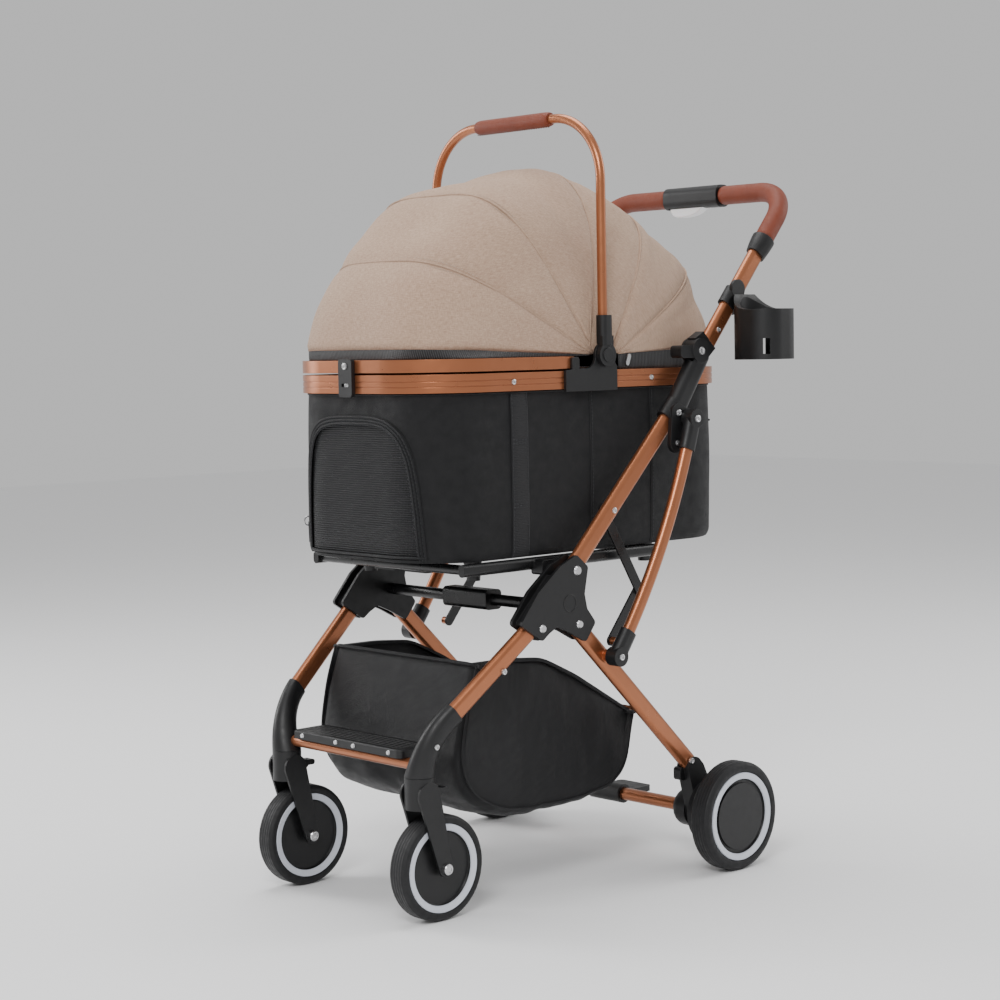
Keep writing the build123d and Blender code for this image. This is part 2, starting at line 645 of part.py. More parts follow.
# ---- canopy ----
CANOPY = [  # (y, half width, top) of the cover's arched cross-sections
    (-338, 84, 840), (-318, 124, 882), (-291, 148, 924), (-237, 162, 969), (-180, 166, 1012),
    (-110, 166, 1036), (0, 166, 1064), (30, 166, 1062), (75, 166, 1036), (127, 166, 1005),
    (200, 162, 958), (256, 142, 908), (281, 96, 848),
]


def canopy_solid(shrink):
    with BuildPart() as dome:
        for y, half, top in CANOPY:
            bend = min(half, top - 797) * 0.62
            with BuildSketch(Plane.XZ.offset(-(y - shrink if y > 0 else y + shrink))):
                with BuildLine():
                    x, z = half - shrink, top - shrink
                    Line((-x, HEM_Z), (x, HEM_Z))
                    Line((x, HEM_Z), (x, z - bend))
                    ThreePointArc((x, z - bend), (x - bend * 0.293, z - bend * 0.293), (x - bend, z))
                    Line((x - bend, z), (bend - x, z))
                    ThreePointArc((bend - x, z), (bend * 0.293 - x, z - bend * 0.293), (-x, z - bend))
                    Line((-x, z - bend), (-x, HEM_Z))
                make_face()
        loft(ruled=True)
    return dome.part


canopy_skin = canopy_solid(0) - Pos(0, 0, -2) * canopy_solid(2.5)
SPLIT_LEAN = 65
with BuildPart() as front_wedge:
    with BuildSketch(Plane.YZ.offset(-300)):
        Polygon(
            HOOP_PIVOT, (HOOP_PIVOT[0] - 400 * cos(radians(SPLIT_LEAN)), 774 + 400 * sin(radians(SPLIT_LEAN))),
            (-500, 1140), (-500, 700), (HOOP_PIVOT[0], 700), align=None,
        )
    extrude(amount=600)
# Each rear bow: lean from level, reach from the hinge and radius of its corners.
REAR_BOWS = ((65, 250, 125), (109.5, 290, 145), (131.7, 292, 130), (156, 328, 120))


def bow(lean, reach, bend, foot=151, thick=2.5):
    """Thin hoop from side to side in a plane leaning back from level by lean degrees."""
    tilted = Plane(origin=(0, *HOOP_PIVOT), x_dir=(1, 0, 0), z_dir=Vector(0, 0, 1).rotate(Axis.X, -lean))
    with BuildPart() as hoop:
        with BuildLine(tilted) as path:
            FilletPolyline((foot, -8), (foot, -reach), (-foot, -reach), (-foot, -8), radius=bend)
        wire = path.wires()[0]
        with BuildSketch(Plane(origin=wire @ 0, z_dir=wire % 0)):
            Circle(thick)
        sweep(path=wire)
    return hoop.part


with BuildPart() as bow_sleeves:
    for lean, reach, bend in REAR_BOWS:
        add(bow(lean, reach, bend, thick=3.1))

with BuildPart() as canopy_front:
    add(canopy_skin)
    add(front_wedge.part, mode=Mode.INTERSECT)
    add(bow_sleeves.part, mode=Mode.SUBTRACT)
save(canopy_front.part, "canopy_front")

with BuildPart() as canopy_rear:
    add(canopy_skin)
    add(Pos(0, 0.6, 0) * front_wedge.part, mode=Mode.SUBTRACT)
    add(bow_sleeves.part, mode=Mode.SUBTRACT)
save(canopy_rear.part, "canopy_rear")


with BuildPart() as front_bow:
    add(bow(35, 250, 105, foot=144))
save(front_bow.part, "front_bow")

with BuildPart() as rear_bows:
    for lean, reach, bend in REAR_BOWS:
        add(bow(lean, reach, bend))
save(rear_bows.part, "rear_bows")

with BuildPart() as front_hoop:
    add(plan_ring(0, RIM_THICK, HOOP_LOW, HOOP_HIGH))
    with Locations((0, 200 + HOOP_PIVOT[0] - 14, 774)):
        Box(500, 400, 60, mode=Mode.SUBTRACT)
    for x in (-RIM_X + RIM_THICK / 2, RIM_X - RIM_THICK / 2):
        with BuildSketch(Plane.YZ.offset(x - 4.5)):
            with Locations(HOOP_PIVOT):
                Circle(8.5)
            with Locations((HOOP_PIVOT[0] - 8, HOOP_PIVOT[1])):
                Rectangle(16, 17)
        extrude(amount=9)
        add(bar_across(HOOP_PIVOT, 3 + PIN_FIT, x - 6, x + 6), mode=Mode.SUBTRACT)
save(front_hoop.part, "front_hoop")

with BuildPart() as latch:
    with BuildSketch(Plane.XZ.offset(-RIM_FRONT + 1)):
        with Locations((0, 758)):
            RectangleRounded(30, 54, 5)
    extrude(amount=6)
    with BuildSketch(Plane.XZ.offset(-RIM_FRONT)):
        with Locations((0, 748)):
            SlotOverall(16, 5)
    extrude(amount=8, mode=Mode.SUBTRACT)
save(latch.part, "latch")

# ---- carry handle ----
with BuildPart() as carry_handle:
    with BuildLine() as arch_path:
        FilletPolyline(
            (ARCH_X, ARCH_Y, 842), (ARCH_X, ARCH_Y, ARCH_TOP), (-ARCH_X, ARCH_Y, ARCH_TOP),
            (-ARCH_X, ARCH_Y, 842), radius=ARCH_BEND,
        )
    with BuildSketch(Plane.XY.offset(842)):
        with Locations((ARCH_X, ARCH_Y)):
            Circle(ARCH_R)
            Circle(ARCH_R - WALL, mode=Mode.SUBTRACT)
    sweep(path=arch_path.wires()[0])
save(carry_handle.part, "carry_handle")

with BuildPart() as carry_grip:
    add(bar_across((ARCH_Y, ARCH_TOP), 11.5, -80, 80))
    add(bar_across((ARCH_Y, ARCH_TOP), ARCH_R + 0.1, -81, 81), mode=Mode.SUBTRACT)
save(carry_grip.part, "carry_grip")

DISC_LOW = RIM_X + 5 + SLACK
with BuildPart() as handle_foot:
    with BuildSketch(Plane.XY.offset(798)):
        with Locations((ARCH_X + 3, ARCH_Y)):
            RectangleRounded(19, 23, 8)
    extrude(amount=44)
    add(bar_across((ARCH_Y, ARCH_PIVOT_Z), 17, DISC_LOW, DISC_LOW + 8))
    add(bar_across((ARCH_Y, ARCH_PIVOT_Z), 10.5, DISC_LOW + 8, DISC_LOW + 9.5))
    with BuildSketch(Plane.YZ.offset(DISC_LOW)):
        with Locations((ARCH_Y, 802)):
            Rectangle(23, 20)
    extrude(amount=8)
    add(bar_across((ARCH_Y, ARCH_PIVOT_Z), 19.5, ARCH_X - 20, DISC_LOW), mode=Mode.SUBTRACT)
    add(bar_across((ARCH_Y, ARCH_PIVOT_Z), 4 + PIN_FIT, DISC_LOW - 1, RIM_X + 14.2), mode=Mode.SUBTRACT)
save_both(handle_foot.part, "handle_feet")

# ---- zip slider ----
with BuildPart() as zip_pull:
    with BuildSketch(Plane.YZ.offset(RIM_X - RIM_THICK + 3)):
        with Locations((42, 776)):
            SlotOverall(18, 7, rotation=70)
    extrude(amount=2)
save(zip_pull.part, "zip_pull")
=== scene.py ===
"""Looks of the pet stroller: fabrics, padding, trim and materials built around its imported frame."""

import json
import math

import bpy
import numpy as np
from mathutils import Matrix, Vector, noise


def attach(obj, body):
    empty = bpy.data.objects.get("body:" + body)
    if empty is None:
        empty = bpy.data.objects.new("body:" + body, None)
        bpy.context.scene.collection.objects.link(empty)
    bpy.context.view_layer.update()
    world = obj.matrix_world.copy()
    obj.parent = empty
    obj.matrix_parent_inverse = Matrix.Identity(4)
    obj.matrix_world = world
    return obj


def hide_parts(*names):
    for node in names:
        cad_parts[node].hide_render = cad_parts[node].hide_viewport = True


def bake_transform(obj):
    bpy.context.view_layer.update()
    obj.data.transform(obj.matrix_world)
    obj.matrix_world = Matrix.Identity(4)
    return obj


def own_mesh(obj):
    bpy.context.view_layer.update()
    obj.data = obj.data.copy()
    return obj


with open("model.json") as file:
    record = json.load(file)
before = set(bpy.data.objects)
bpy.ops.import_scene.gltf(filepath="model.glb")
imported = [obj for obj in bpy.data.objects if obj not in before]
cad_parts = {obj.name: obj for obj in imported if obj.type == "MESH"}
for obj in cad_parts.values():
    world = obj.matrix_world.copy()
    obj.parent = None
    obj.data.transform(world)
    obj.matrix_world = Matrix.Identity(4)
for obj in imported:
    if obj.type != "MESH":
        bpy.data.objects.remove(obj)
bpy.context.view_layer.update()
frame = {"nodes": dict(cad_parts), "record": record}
NODES = frame["nodes"]
TURN = 2 * math.pi

# ---------------------------------------------------------------- materials


class Look:
    """A node material whose colour, roughness and relief are built up step by step."""

    def __init__(self, name, colour, rough, **sockets):
        self.material = bpy.data.materials.new(name)
        self.material.use_nodes = True
        self.tree = self.material.node_tree
        self.shader = self.tree.nodes["Principled BSDF"]
        self.feed(self.shader.inputs["Base Color"], (*colour, 1.0))
        self.feed(self.shader.inputs["Roughness"], rough)
        for key, value in sockets.items():
            self.feed(self.shader.inputs[key.replace("_", " ")], value)
        self.relief = None

    def feed(self, socket, value):
        if isinstance(value, bpy.types.NodeSocket):
            self.tree.links.new(value, socket)
        else:
            socket.default_value = value

    def node(self, kind, inputs, **settings):
        made = self.tree.nodes.new("ShaderNode" + kind)
        for key, value in settings.items():
            setattr(made, key, value)
        for key, value in inputs.items():
            self.feed(made.inputs[key], value)
        return made.outputs[0]

    def where(self, kind="Object", scale=(1, 1, 1)):
        """Coordinates in metres, stretched by scale."""
        coords = self.tree.nodes.new("ShaderNodeTexCoord").outputs[kind]
        return self.node("Mapping", {"Vector": coords, "Scale": scale})

    def noise(self, vector, scale, detail=3.0, rough=0.55):
        inputs = {"Vector": vector, "Scale": scale, "Detail": detail, "Roughness": rough}
        return self.node("TexNoise", inputs)

    def maths(self, operation, a, b=0.0):
        return self.node("Math", {0: a, 1: b}, operation=operation)

    def span(self, value, low, high, out_low=0.0, out_high=1.0):
        inputs = {"Value": value, "From Min": low, "From Max": high, "To Min": out_low, "To Max": out_high}
        return self.node("MapRange", inputs)

    def ripple(self, vector, pitch, axis):
        """A sine along one axis of vector, with this pitch in metres."""
        split = self.tree.nodes.new("ShaderNodeSeparateXYZ")
        self.feed(split.inputs[0], vector)
        return self.maths("SINE", self.maths("MULTIPLY", split.outputs[axis], TURN / pitch))

    def weave(self, vector, pitch, across=0, along=1):
        """Over-and-under yarn height."""
        return self.maths(
            "MULTIPLY", self.ripple(vector, pitch, across), self.ripple(vector, pitch, along)
        )

    def raise_by(self, height, distance, strength=1.0):
        inputs = {"Height": height, "Distance": distance, "Strength": strength}
        if self.relief is not None:
            inputs["Normal"] = self.relief
        self.relief = self.node("Bump", inputs)
        self.feed(self.shader.inputs["Normal"], self.relief)

    def soften_edges(self, radius):
        self.relief = self.node("Bevel", {"Radius": radius}, samples=4)
        self.feed(self.shader.inputs["Normal"], self.relief)

    def tint(self, factor, low, high):
        """Colours the surface from low to high."""
        self.node("Mix", {0: factor, 6: (*low, 1.0), 7: (*high, 1.0)}, data_type="RGBA")
        self.feed(self.shader.inputs["Base Color"], self.tree.nodes[-1].outputs[2])

    def scuff(self, patches, low, high):
        """Roughness that varies from low to high over the patches."""
        self.feed(self.shader.inputs["Roughness"], self.span(patches, 0.3, 0.7, low, high))


def copper_paint():
    look = Look("copper_paint", (0.40, 0.155, 0.075), 0.30, Metallic=0.78)
    look.soften_edges(0.0012)
    where = look.where()
    look.tint(look.noise(where, 9), (0.36, 0.125, 0.052), (0.42, 0.15, 0.067))
    look.scuff(look.noise(where, 60), 0.27, 0.36)
    look.raise_by(look.noise(where, 2600, 1.0), 0.00005, 0.5)
    look.feed(look.shader.inputs["Coat Weight"], 0.25)
    look.feed(look.shader.inputs["Coat Roughness"], 0.18)
    return look.material


def black_plastic(name="black_plastic", shade=0.0075, rough=0.42):
    look = Look(name, (shade,) * 3, rough, Specular_IOR_Level=0.4)
    look.soften_edges(0.0014)
    where = look.where()
    dark, light = (shade * 0.8, shade * 0.8, shade * 0.85), (shade * 1.3, shade * 1.3, shade * 1.4)
    look.tint(look.noise(where, 14), dark, light)
    look.scuff(look.noise(where, 90), rough - 0.06, rough + 0.08)
    look.raise_by(look.noise(where, 1500, 2.0), 0.00012, 0.7)
    return look.material


def white_plastic():
    look = Look("white_plastic", (0.82, 0.82, 0.84), 0.3, Subsurface_Weight=0.05)
    look.soften_edges(0.0012)
    where = look.where()
    look.tint(look.noise(where, 30), (0.78, 0.78, 0.80), (0.86, 0.86, 0.87))
    look.raise_by(look.noise(where, 900, 1.0), 0.00005, 0.5)
    return look.material


def steel(name="brushed_steel", shade=0.62, rough=0.26):
    look = Look(name, (shade, shade, shade * 1.01), rough, Metallic=1.0)
    where = look.where(scale=(1, 14, 14))
    look.scuff(look.noise(where, 300), rough - 0.08, rough + 0.12)
    look.raise_by(look.noise(where, 700, 2.0), 0.00004, 0.6)
    return look.material


def ring_paint():
    look = Look("wheel_ring", (0.60, 0.63, 0.70), 0.34, Metallic=0.15)
    where = look.where()
    look.tint(look.noise(where, 40), (0.57, 0.60, 0.67), (0.66, 0.68, 0.74))
    look.raise_by(look.noise(where, 1200, 1.0), 0.00005, 0.5)
    return look.material


def rubber():
    look = Look("tyre_rubber", (0.009, 0.009, 0.01), 0.55, Specular_IOR_Level=0.35)
    where = look.where()
    look.tint(look.noise(where, 25), (0.007, 0.007, 0.008), (0.014, 0.014, 0.015))
    look.scuff(look.noise(where, 120), 0.45, 0.68)
    look.raise_by(look.ripple(where, 0.0052, 0), 0.0004, 0.55)
    look.raise_by(look.noise(where, 1800, 2.0), 0.00015, 0.6)
    return look.material


def leather():
    look = Look("leatherette", (0.17, 0.034, 0.014), 0.48, Specular_IOR_Level=0.35)
    where = look.where()
    look.tint(look.noise(where, 45, 4.0), (0.14, 0.026, 0.011), (0.205, 0.044, 0.019))
    cells = look.node("TexVoronoi", {"Vector": where, "Scale": 620.0}, feature="DISTANCE_TO_EDGE")
    look.raise_by(look.span(cells, 0.0, 0.25), 0.00022, 0.7)
    look.raise_by(look.noise(where, 160, 4.0), 0.0004, 0.35)
    look.scuff(look.noise(where, 200), 0.40, 0.58)
    return look.material


def canopy_cloth():
    look = Look(
        "canopy_cloth", (0.46, 0.32, 0.235), 0.88,
        Sheen_Weight=0.1, Sheen_Roughness=0.5, Specular_IOR_Level=0.25,
    )
    cloth = look.where("UV")
    flecks = look.noise(look.where("UV", (1, 0.16, 1)), 900, 2.0, 0.7)
    slubs = look.noise(look.where("UV", (0.22, 1, 1)), 620, 2.0, 0.7)
    both = look.maths("ADD", flecks, slubs)
    clouds = look.noise(cloth, 7, 3.0)
    mixed = look.maths("ADD", look.span(both, 0.72, 1.28), look.span(clouds, 0.3, 0.7, -0.12, 0.12))
    look.tint(mixed, (0.34, 0.215, 0.148), (0.52, 0.37, 0.272))
    look.raise_by(look.weave(cloth, 0.0011), 0.00018, 0.6)
    look.raise_by(both, 0.00025, 0.4)
    look.raise_by(look.noise(cloth, 22, 3.0), 0.0016, 0.35)
    return look.material


def black_cloth(name="black_cloth", shade=0.0045, rough=0.66, pitch=0.0011, sheen=0.03):
    look = Look(
        name, (shade, shade, shade * 1.1), rough,
        Sheen_Weight=sheen, Sheen_Roughness=0.4, Specular_IOR_Level=0.3,
    )
    cloth = look.where("UV")
    look.tint(
        look.noise(look.where("UV", (1, 0.3, 1)), 420, 3.0),
        (shade * 0.75, shade * 0.75, shade * 0.85),
        (shade * 1.5, shade * 1.5, shade * 1.75),
    )
    look.raise_by(look.weave(cloth, pitch), 0.0002, 0.7)
    look.raise_by(look.noise(cloth, 30, 3.0), 0.0014, 0.3)
    look.scuff(look.noise(cloth, 60), rough - 0.08, rough + 0.08)
    return look.material


def webbing():
    look = Look("webbing", (0.007, 0.007, 0.008), 0.62, Sheen_Weight=0.05, Specular_IOR_Level=0.3)
    cloth = look.where("UV")
    look.tint(look.noise(cloth, 500), (0.0045, 0.0045, 0.0055), (0.012, 0.012, 0.014))
    look.raise_by(look.ripple(cloth, 0.0016, 1), 0.0003, 0.8)
    look.raise_by(look.ripple(cloth, 0.0024, 0), 0.0003, 0.5)
    return look.material


def mesh_cloth():
    """Open net: ribbed yarn across, with small holes that let light through."""
    look = Look("mesh_cloth", (0.009, 0.009, 0.01), 0.6, Specular_IOR_Level=0.3)
    cloth = look.where("UV")
    rows, columns = look.ripple(cloth, 0.0032, 1), look.ripple(cloth, 0.0024, 0)
    look.tint(look.span(rows, -1, 1), (0.003, 0.003, 0.0035), (0.016, 0.016, 0.018))
    look.raise_by(rows, 0.0006, 0.8)
    look.raise_by(columns, 0.0003, 0.5)
    holes = look.maths("ADD", rows, columns)
    look.feed(look.shader.inputs["Alpha"], look.span(holes, -1.55, -1.2, 0.1, 1.0))
    return look.material


def zip_tape():
    look = Look("zip_tape", (0.012, 0.012, 0.013), 0.5)
    cloth = look.where("UV")
    teeth = look.ripple(cloth, 0.0032, 0)
    look.tint(look.span(teeth, -1, 1), (0.006, 0.006, 0.007), (0.05, 0.05, 0.052))
    look.raise_by(teeth, 0.0007, 0.9)
    return look.material


def plush():
    look = Look("plush", (0.20, 0.18, 0.165), 0.95, Sheen_Weight=0.5, Sheen_Roughness=0.6)
    where = look.where()
    look.tint(look.noise(where, 700, 3.0), (0.15, 0.135, 0.122), (0.27, 0.245, 0.225))
    look.raise_by(look.noise(where, 1300, 3.0), 0.0008, 0.9)
    return look.material


def thread(name, colour):
    look = Look(name, colour, 0.6)
    where = look.where()
    look.tint(look.noise(where, 3000), tuple(c * 0.8 for c in colour), tuple(min(1, c * 1.2) for c in colour))
    look.raise_by(look.ripple(where, 0.0006, 2), 0.0001, 0.8)
    return look.material


COPPER, PLASTIC, WHITE, STEEL = copper_paint(), black_plastic(), white_plastic(), steel()
DARK_STEEL = steel("bow_steel", 0.3, 0.35)
GLOSSY_BLACK = black_plastic("wheel_plastic", 0.007, 0.36)
BLACK_METAL = black_plastic("black_metal", 0.007, 0.3)
RING, RUBBER, LEATHER = ring_paint(), rubber(), leather()
CANOPY, BAG, BASKET = canopy_cloth(), black_cloth(), black_cloth("basket_cloth", 0.005, 0.46, 0.0013, 0.02)
BAND = black_cloth("binding", 0.0065, 0.6, 0.0009, 0.04)
WEB, NET, ZIP, PLUSH = webbing(), mesh_cloth(), zip_tape(), plush()
BLACK_THREAD = thread("black_thread", (0.03, 0.03, 0.034))
BROWN_THREAD = thread("brown_thread", (0.16, 0.05, 0.03))
TAUPE_THREAD = thread("taupe_thread", (0.45, 0.34, 0.27))

SLOT_LOOKS = {
    "copper_frame": COPPER, "silver_rivets": STEEL, "black_plastic": PLASTIC, "white_plastic": WHITE,
    "tyre_rubber": RUBBER, "wheel_plastic": GLOSSY_BLACK, "leatherette": LEATHER, "black_fabric": BAG,
    "basket_fabric": BASKET, "canopy_fabric": CANOPY, "mesh_fabric": NET, "cushion_fabric": PLUSH,
    "steel_bow": DARK_STEEL, "black_metal": BLACK_METAL,
}
for entry in frame["record"]["subparts"]:
    mesh = NODES[entry["node"]].data
    mesh.materials.clear()
    mesh.materials.append(SLOT_LOOKS[entry["material_slot"]])

# ---------------------------------------------------------------- mesh helpers


def piece(name, parts, look, body=None, replaces=(), sharp=40):
    """One object from (points, faces, uvs) parts. uvs may be None."""
    points, faces, uvs, count = [], [], [], 0
    for part_points, part_faces, part_uvs in parts:
        part_points = np.asarray(part_points, float).reshape(-1, 3)
        points.append(part_points)
        faces += [tuple(int(i) + count for i in face) for face in part_faces]
        uvs.append(part_points[:, :2] if part_uvs is None else np.asarray(part_uvs, float).reshape(-1, 2))
        count += len(part_points)
    mesh = bpy.data.meshes.new(name)
    mesh.from_pydata(np.concatenate(points).tolist(), [], faces)
    layer = mesh.uv_layers.new(name="UVMap")
    at = np.concatenate(uvs)
    corner = np.zeros(len(mesh.loops), int)
    mesh.loops.foreach_get("vertex_index", corner)
    layer.data.foreach_set("uv", at[corner].astype(np.float32).ravel())
    mesh.polygons.foreach_set("use_smooth", [True] * len(mesh.polygons))
    mesh.set_sharp_from_angle(angle=math.radians(sharp))
    mesh.materials.append(look)
    obj = bpy.data.objects.new(name, mesh)
    bpy.context.scene.collection.objects.link(obj)
    if replaces:
        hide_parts(*replaces)
    if body:
        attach(obj, body)
    return obj


def settle(obj):
    """Turns an object's modifiers into its mesh."""
    bpy.context.view_layer.update()
    graph = bpy.context.evaluated_depsgraph_get()
    mesh = bpy.data.meshes.new_from_object(obj.evaluated_get(graph))
    obj.modifiers.clear()
    obj.data = mesh
    return obj


def thicken(obj, thickness, offset=-1.0):
    solid = obj.modifiers.new("cloth", "SOLIDIFY")
    solid.thickness, solid.offset = thickness, offset
    return settle(obj)


def grid(points, uvs=None, keep=None, closed=False):
    """Quads over a (rows, columns, 3) array.

    keep marks the cells to make, and closed joins the last column to the first.
    """
    rows, columns = points.shape[:2]
    if uvs is None:
        along = np.linalg.norm(np.diff(points, axis=0, prepend=points[:1]), axis=2).cumsum(0)
        across = np.linalg.norm(np.diff(points, axis=1, prepend=points[:, :1]), axis=2).cumsum(1)
        uvs = np.stack([across, along], 2)
    faces = []
    for i in range(rows - 1):
        for j in range(columns if closed else columns - 1):
            if keep is None or keep[i, j]:
                k = (j + 1) % columns
                faces.append((i * columns + j, i * columns + k, (i + 1) * columns + k, (i + 1) * columns + j))
    return points.reshape(-1, 3), faces, uvs.reshape(-1, 2)


def smooth_turns(path, closed):
    path = np.asarray(path, float)
    if closed:
        ahead, behind = np.roll(path, -1, 0), np.roll(path, 1, 0)
    else:
        ahead, behind = np.vstack([path[1:], path[-1:]]), np.vstack([path[:1], path[:-1]])
    tangent = ahead - behind
    return tangent / np.linalg.norm(tangent, axis=1)[:, None]


def sweep(path, section, normals=None, closed=False, capped=True):
    """A section of (out, side) points carried along path. normals give the out direction."""
    path = np.asarray(path, float)
    tangent = smooth_turns(path, closed)
    if normals is None:
        seed = np.array([0.0, 0.0, 1.0]) if abs(tangent[0][2]) < 0.9 else np.array([1.0, 0.0, 0.0])
        out = [seed - tangent[0] * (seed @ tangent[0])]
        for t in tangent[1:]:
            out.append(out[-1] - t * (out[-1] @ t))
        normals = np.array(out)
    normals = normals - tangent * np.sum(normals * tangent, 1)[:, None]
    normals /= np.linalg.norm(normals, axis=1)[:, None]
    side = np.cross(tangent, normals)
    section = np.asarray(section, float)
    points = (
        path[:, None]
        + normals[:, None] * section[None, :, :1]
        + side[:, None] * section[None, :, 1:]
    )
    count, size = points.shape[:2]
    length = np.linalg.norm(np.diff(path, axis=0, prepend=path[:1]), axis=1).cumsum()
    round_it = np.linalg.norm(np.diff(section, axis=0, prepend=section[:1]), axis=1).cumsum()
    uvs = np.stack(np.broadcast_arrays(length[:, None], round_it[None]), 2)
    faces = []
    for i in range(count if closed else count - 1):
        a, b = i * size, ((i + 1) % count) * size
        for j in range(size):
            k = (j + 1) % size
            faces.append((a + j, a + k, b + k, b + j))
    if capped and not closed:
        faces += [tuple(range(size))[::-1], tuple((count - 1) * size + j for j in range(size))]
    return points.reshape(-1, 3), faces, uvs.reshape(-1, 2)


def circle(radius, sides=12):
    angle = np.arange(sides) * TURN / sides
    return np.stack([np.cos(angle), np.sin(angle)], 1) * radius


def strap(width, thickness):
    """Flat section with rounded edges, lying on a surface."""
    w, t = width / 2, thickness
    return [(0, -w), (t * 0.6, -w), (t, -w + t * 0.5), (t, w - t * 0.5), (t * 0.6, w), (0, w)]


def lathe(profile, centre, axis, sides=64, ring=False):
    """Turns (radius, height) points about an axis through centre. ring closes the profile on itself."""
    axis = Vector(axis).normalized()
    u = axis.orthogonal().normalized()
    v = axis.cross(u)
    angle = np.arange(sides) * TURN / sides
    spoke = np.cos(angle)[:, None] * np.array(u) + np.sin(angle)[:, None] * np.array(v)
    profile = np.asarray(profile, float)
    points = (
        np.array(centre)
        + spoke[:, None] * profile[None, :, :1]
        + np.array(axis)[None, None] * profile[None, :, 1:]
    )
    size = len(profile)
    faces = []
    for i in range(sides):
        a, b = i * size, ((i + 1) % sides) * size
        for j in range(size if ring else size - 1):
            k = (j + 1) % size
            faces.append((a + j, a + k, b + k, b + j))
    if not ring:
        faces.append(tuple(i * size + size - 1 for i in range(sides)))
        faces.append(tuple(i * size for i in range(sides))[::-1])
    uvs = np.stack(np.broadcast_arrays(angle[:, None] * profile[:, 0].max(), profile[None, :, 0]), 2)
    return points.reshape(-1, 3), faces, uvs.reshape(-1, 2)


# Rivet heads as shares of radius and height, and the small radius that closes a turned piece at its pole.
HOLLOW_HEAD = ((1, -1), (1, 0.25), (0.9, 0.85), (0.7, 1), (0.5, 0.8), (0.4, 0.2), (0, 0.1))
DOMED_HEAD = ((1, -1), (1, 0.2), (0.88, 0.6), (0.6, 0.9), (0.3, 1), (0, 1.02))
POLE = 0.00001


def rivet(centre, axis, radius, height, hollow=False):
    """Domed rivet head, or a hollow one with a sunk middle."""
    shares = HOLLOW_HEAD if hollow else DOMED_HEAD
    profile = [(radius * r, height * h) for r, h in shares[:-1]] + [(POLE, height * shares[-1][1])]
    return lathe(profile, centre, axis, 24)


def stitches(path, normals, length=0.0035, gap=0.0022, radius=0.00045, lift=0.0003):
    """Short threads lying along a path on a surface."""
    path, normals = np.asarray(path, float), np.asarray(normals, float)
    at = np.linalg.norm(np.diff(path, axis=0, prepend=path[:1]), axis=1).cumsum()
    parts = []
    for start in np.arange(0, at[-1] - length, length + gap):
        steps = np.linspace(start, start + length, 4)
        line = np.stack([np.interp(steps, at, path[:, k]) for k in range(3)], 1)
        up = np.stack([np.interp(steps, at, normals[:, k]) for k in range(3)], 1)
        up /= np.linalg.norm(up, axis=1)[:, None]
        line = line + up * np.array([-radius, lift, lift, -radius])[:, None]
        parts.append(sweep(line, circle(radius, 5), up))
    return parts


def mirrored(parts):
    """The parts and their mirror images across the middle plane."""
    both = list(parts)
    for points, faces, uvs in parts:
        flipped = np.asarray(points, float).reshape(-1, 3) * np.array([-1, 1, 1])
        both.append((flipped, [tuple(reversed(face)) for face in faces], uvs))
    return both


def ruffle(points, scale, seed):
    """Smooth noise between -1 and 1 at each point."""
    offset = Vector((seed * 7.3, seed * 1.7, seed * 3.1))
    values = [noise.noise(Vector(p) * scale + offset) for p in points.reshape(-1, 3)]
    return np.array(values).reshape(points.shape[:-1])


# ---------------------------------------------------------------- canopy

# Each row is a line of the cover from side to side: lean from level, reach, squareness, y of its foot.
COVER = np.array([
    (2.2, 0.309, 4.8, -0.034), (14, 0.304, 4.2, -0.034), (28.1, 0.2923, 3.58, -0.0346),
    (41, 0.282, 3.8, -0.030), (55, 0.286, 4.0, -0.026), (68, 0.268, 3.6, -0.030),
    (80, 0.262, 3.1, -0.034), (92, 0.276, 2.6, -0.038), (102.9, 0.2845, 2.35, -0.040),
    (110, 0.264, 3.0, -0.015), (118.1, 0.249, 3.6, 0.010), (128, 0.243, 3.4, 0.014),
    (139, 0.256, 3.2, 0.018), (150, 0.283, 2.95, 0.0215), (160, 0.272, 3.0, 0.023),
    (170, 0.264, 4.0, 0.025), (177.8, 0.258, 4.8, 0.025),
])
RIBS = (28.1, 55, 102.9, 118.1, 150)
COVER_X, COVER_FOOT = 0.1675, 0.786


def cover_row(lean, count=121, lift=0.0):
    """Points and outward normals along one line of the cover."""
    reach, square, foot = (np.interp(lean, COVER[:, 0], COVER[:, k]) for k in (1, 2, 3))
    turn = np.linspace(0, math.pi, 721)
    x = np.sign(np.cos(turn)) * COVER_X * np.abs(np.cos(turn)) ** (2 / square)
    r = reach * np.sin(turn) ** (2 / square)
    at = np.hypot(np.diff(x, prepend=x[0]), np.diff(r, prepend=r[0])).cumsum()
    even = np.linspace(0, at[-1], count)
    x, r = np.interp(even, at, x), np.interp(even, at, r)
    a = math.radians(lean)
    line = np.stack([x, foot - r * math.cos(a), COVER_FOOT + r * math.sin(a)], 1)
    flat_normal = np.stack([np.gradient(r), -np.gradient(x)], 1)
    flat_normal /= np.linalg.norm(flat_normal, axis=1)[:, None]
    out = np.stack(
        [flat_normal[:, 0], -flat_normal[:, 1] * math.cos(a), flat_normal[:, 1] * math.sin(a)], 1
    )
    return line + out * lift, out


def smooth_cover():
    """Leans for the cover's lines: evenly spaced between the ends and the ribs, which stay where they are."""
    leans = np.concatenate([
        np.linspace(a, b, max(4, round((b - a) / 1.6)), endpoint=False)
        for a, b in zip((COVER[0, 0], *RIBS), (*RIBS, COVER[-1, 0]))
    ])
    return np.append(leans, COVER[-1, 0])


def bend_with_hoop(obj):
    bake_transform(obj)
    return obj


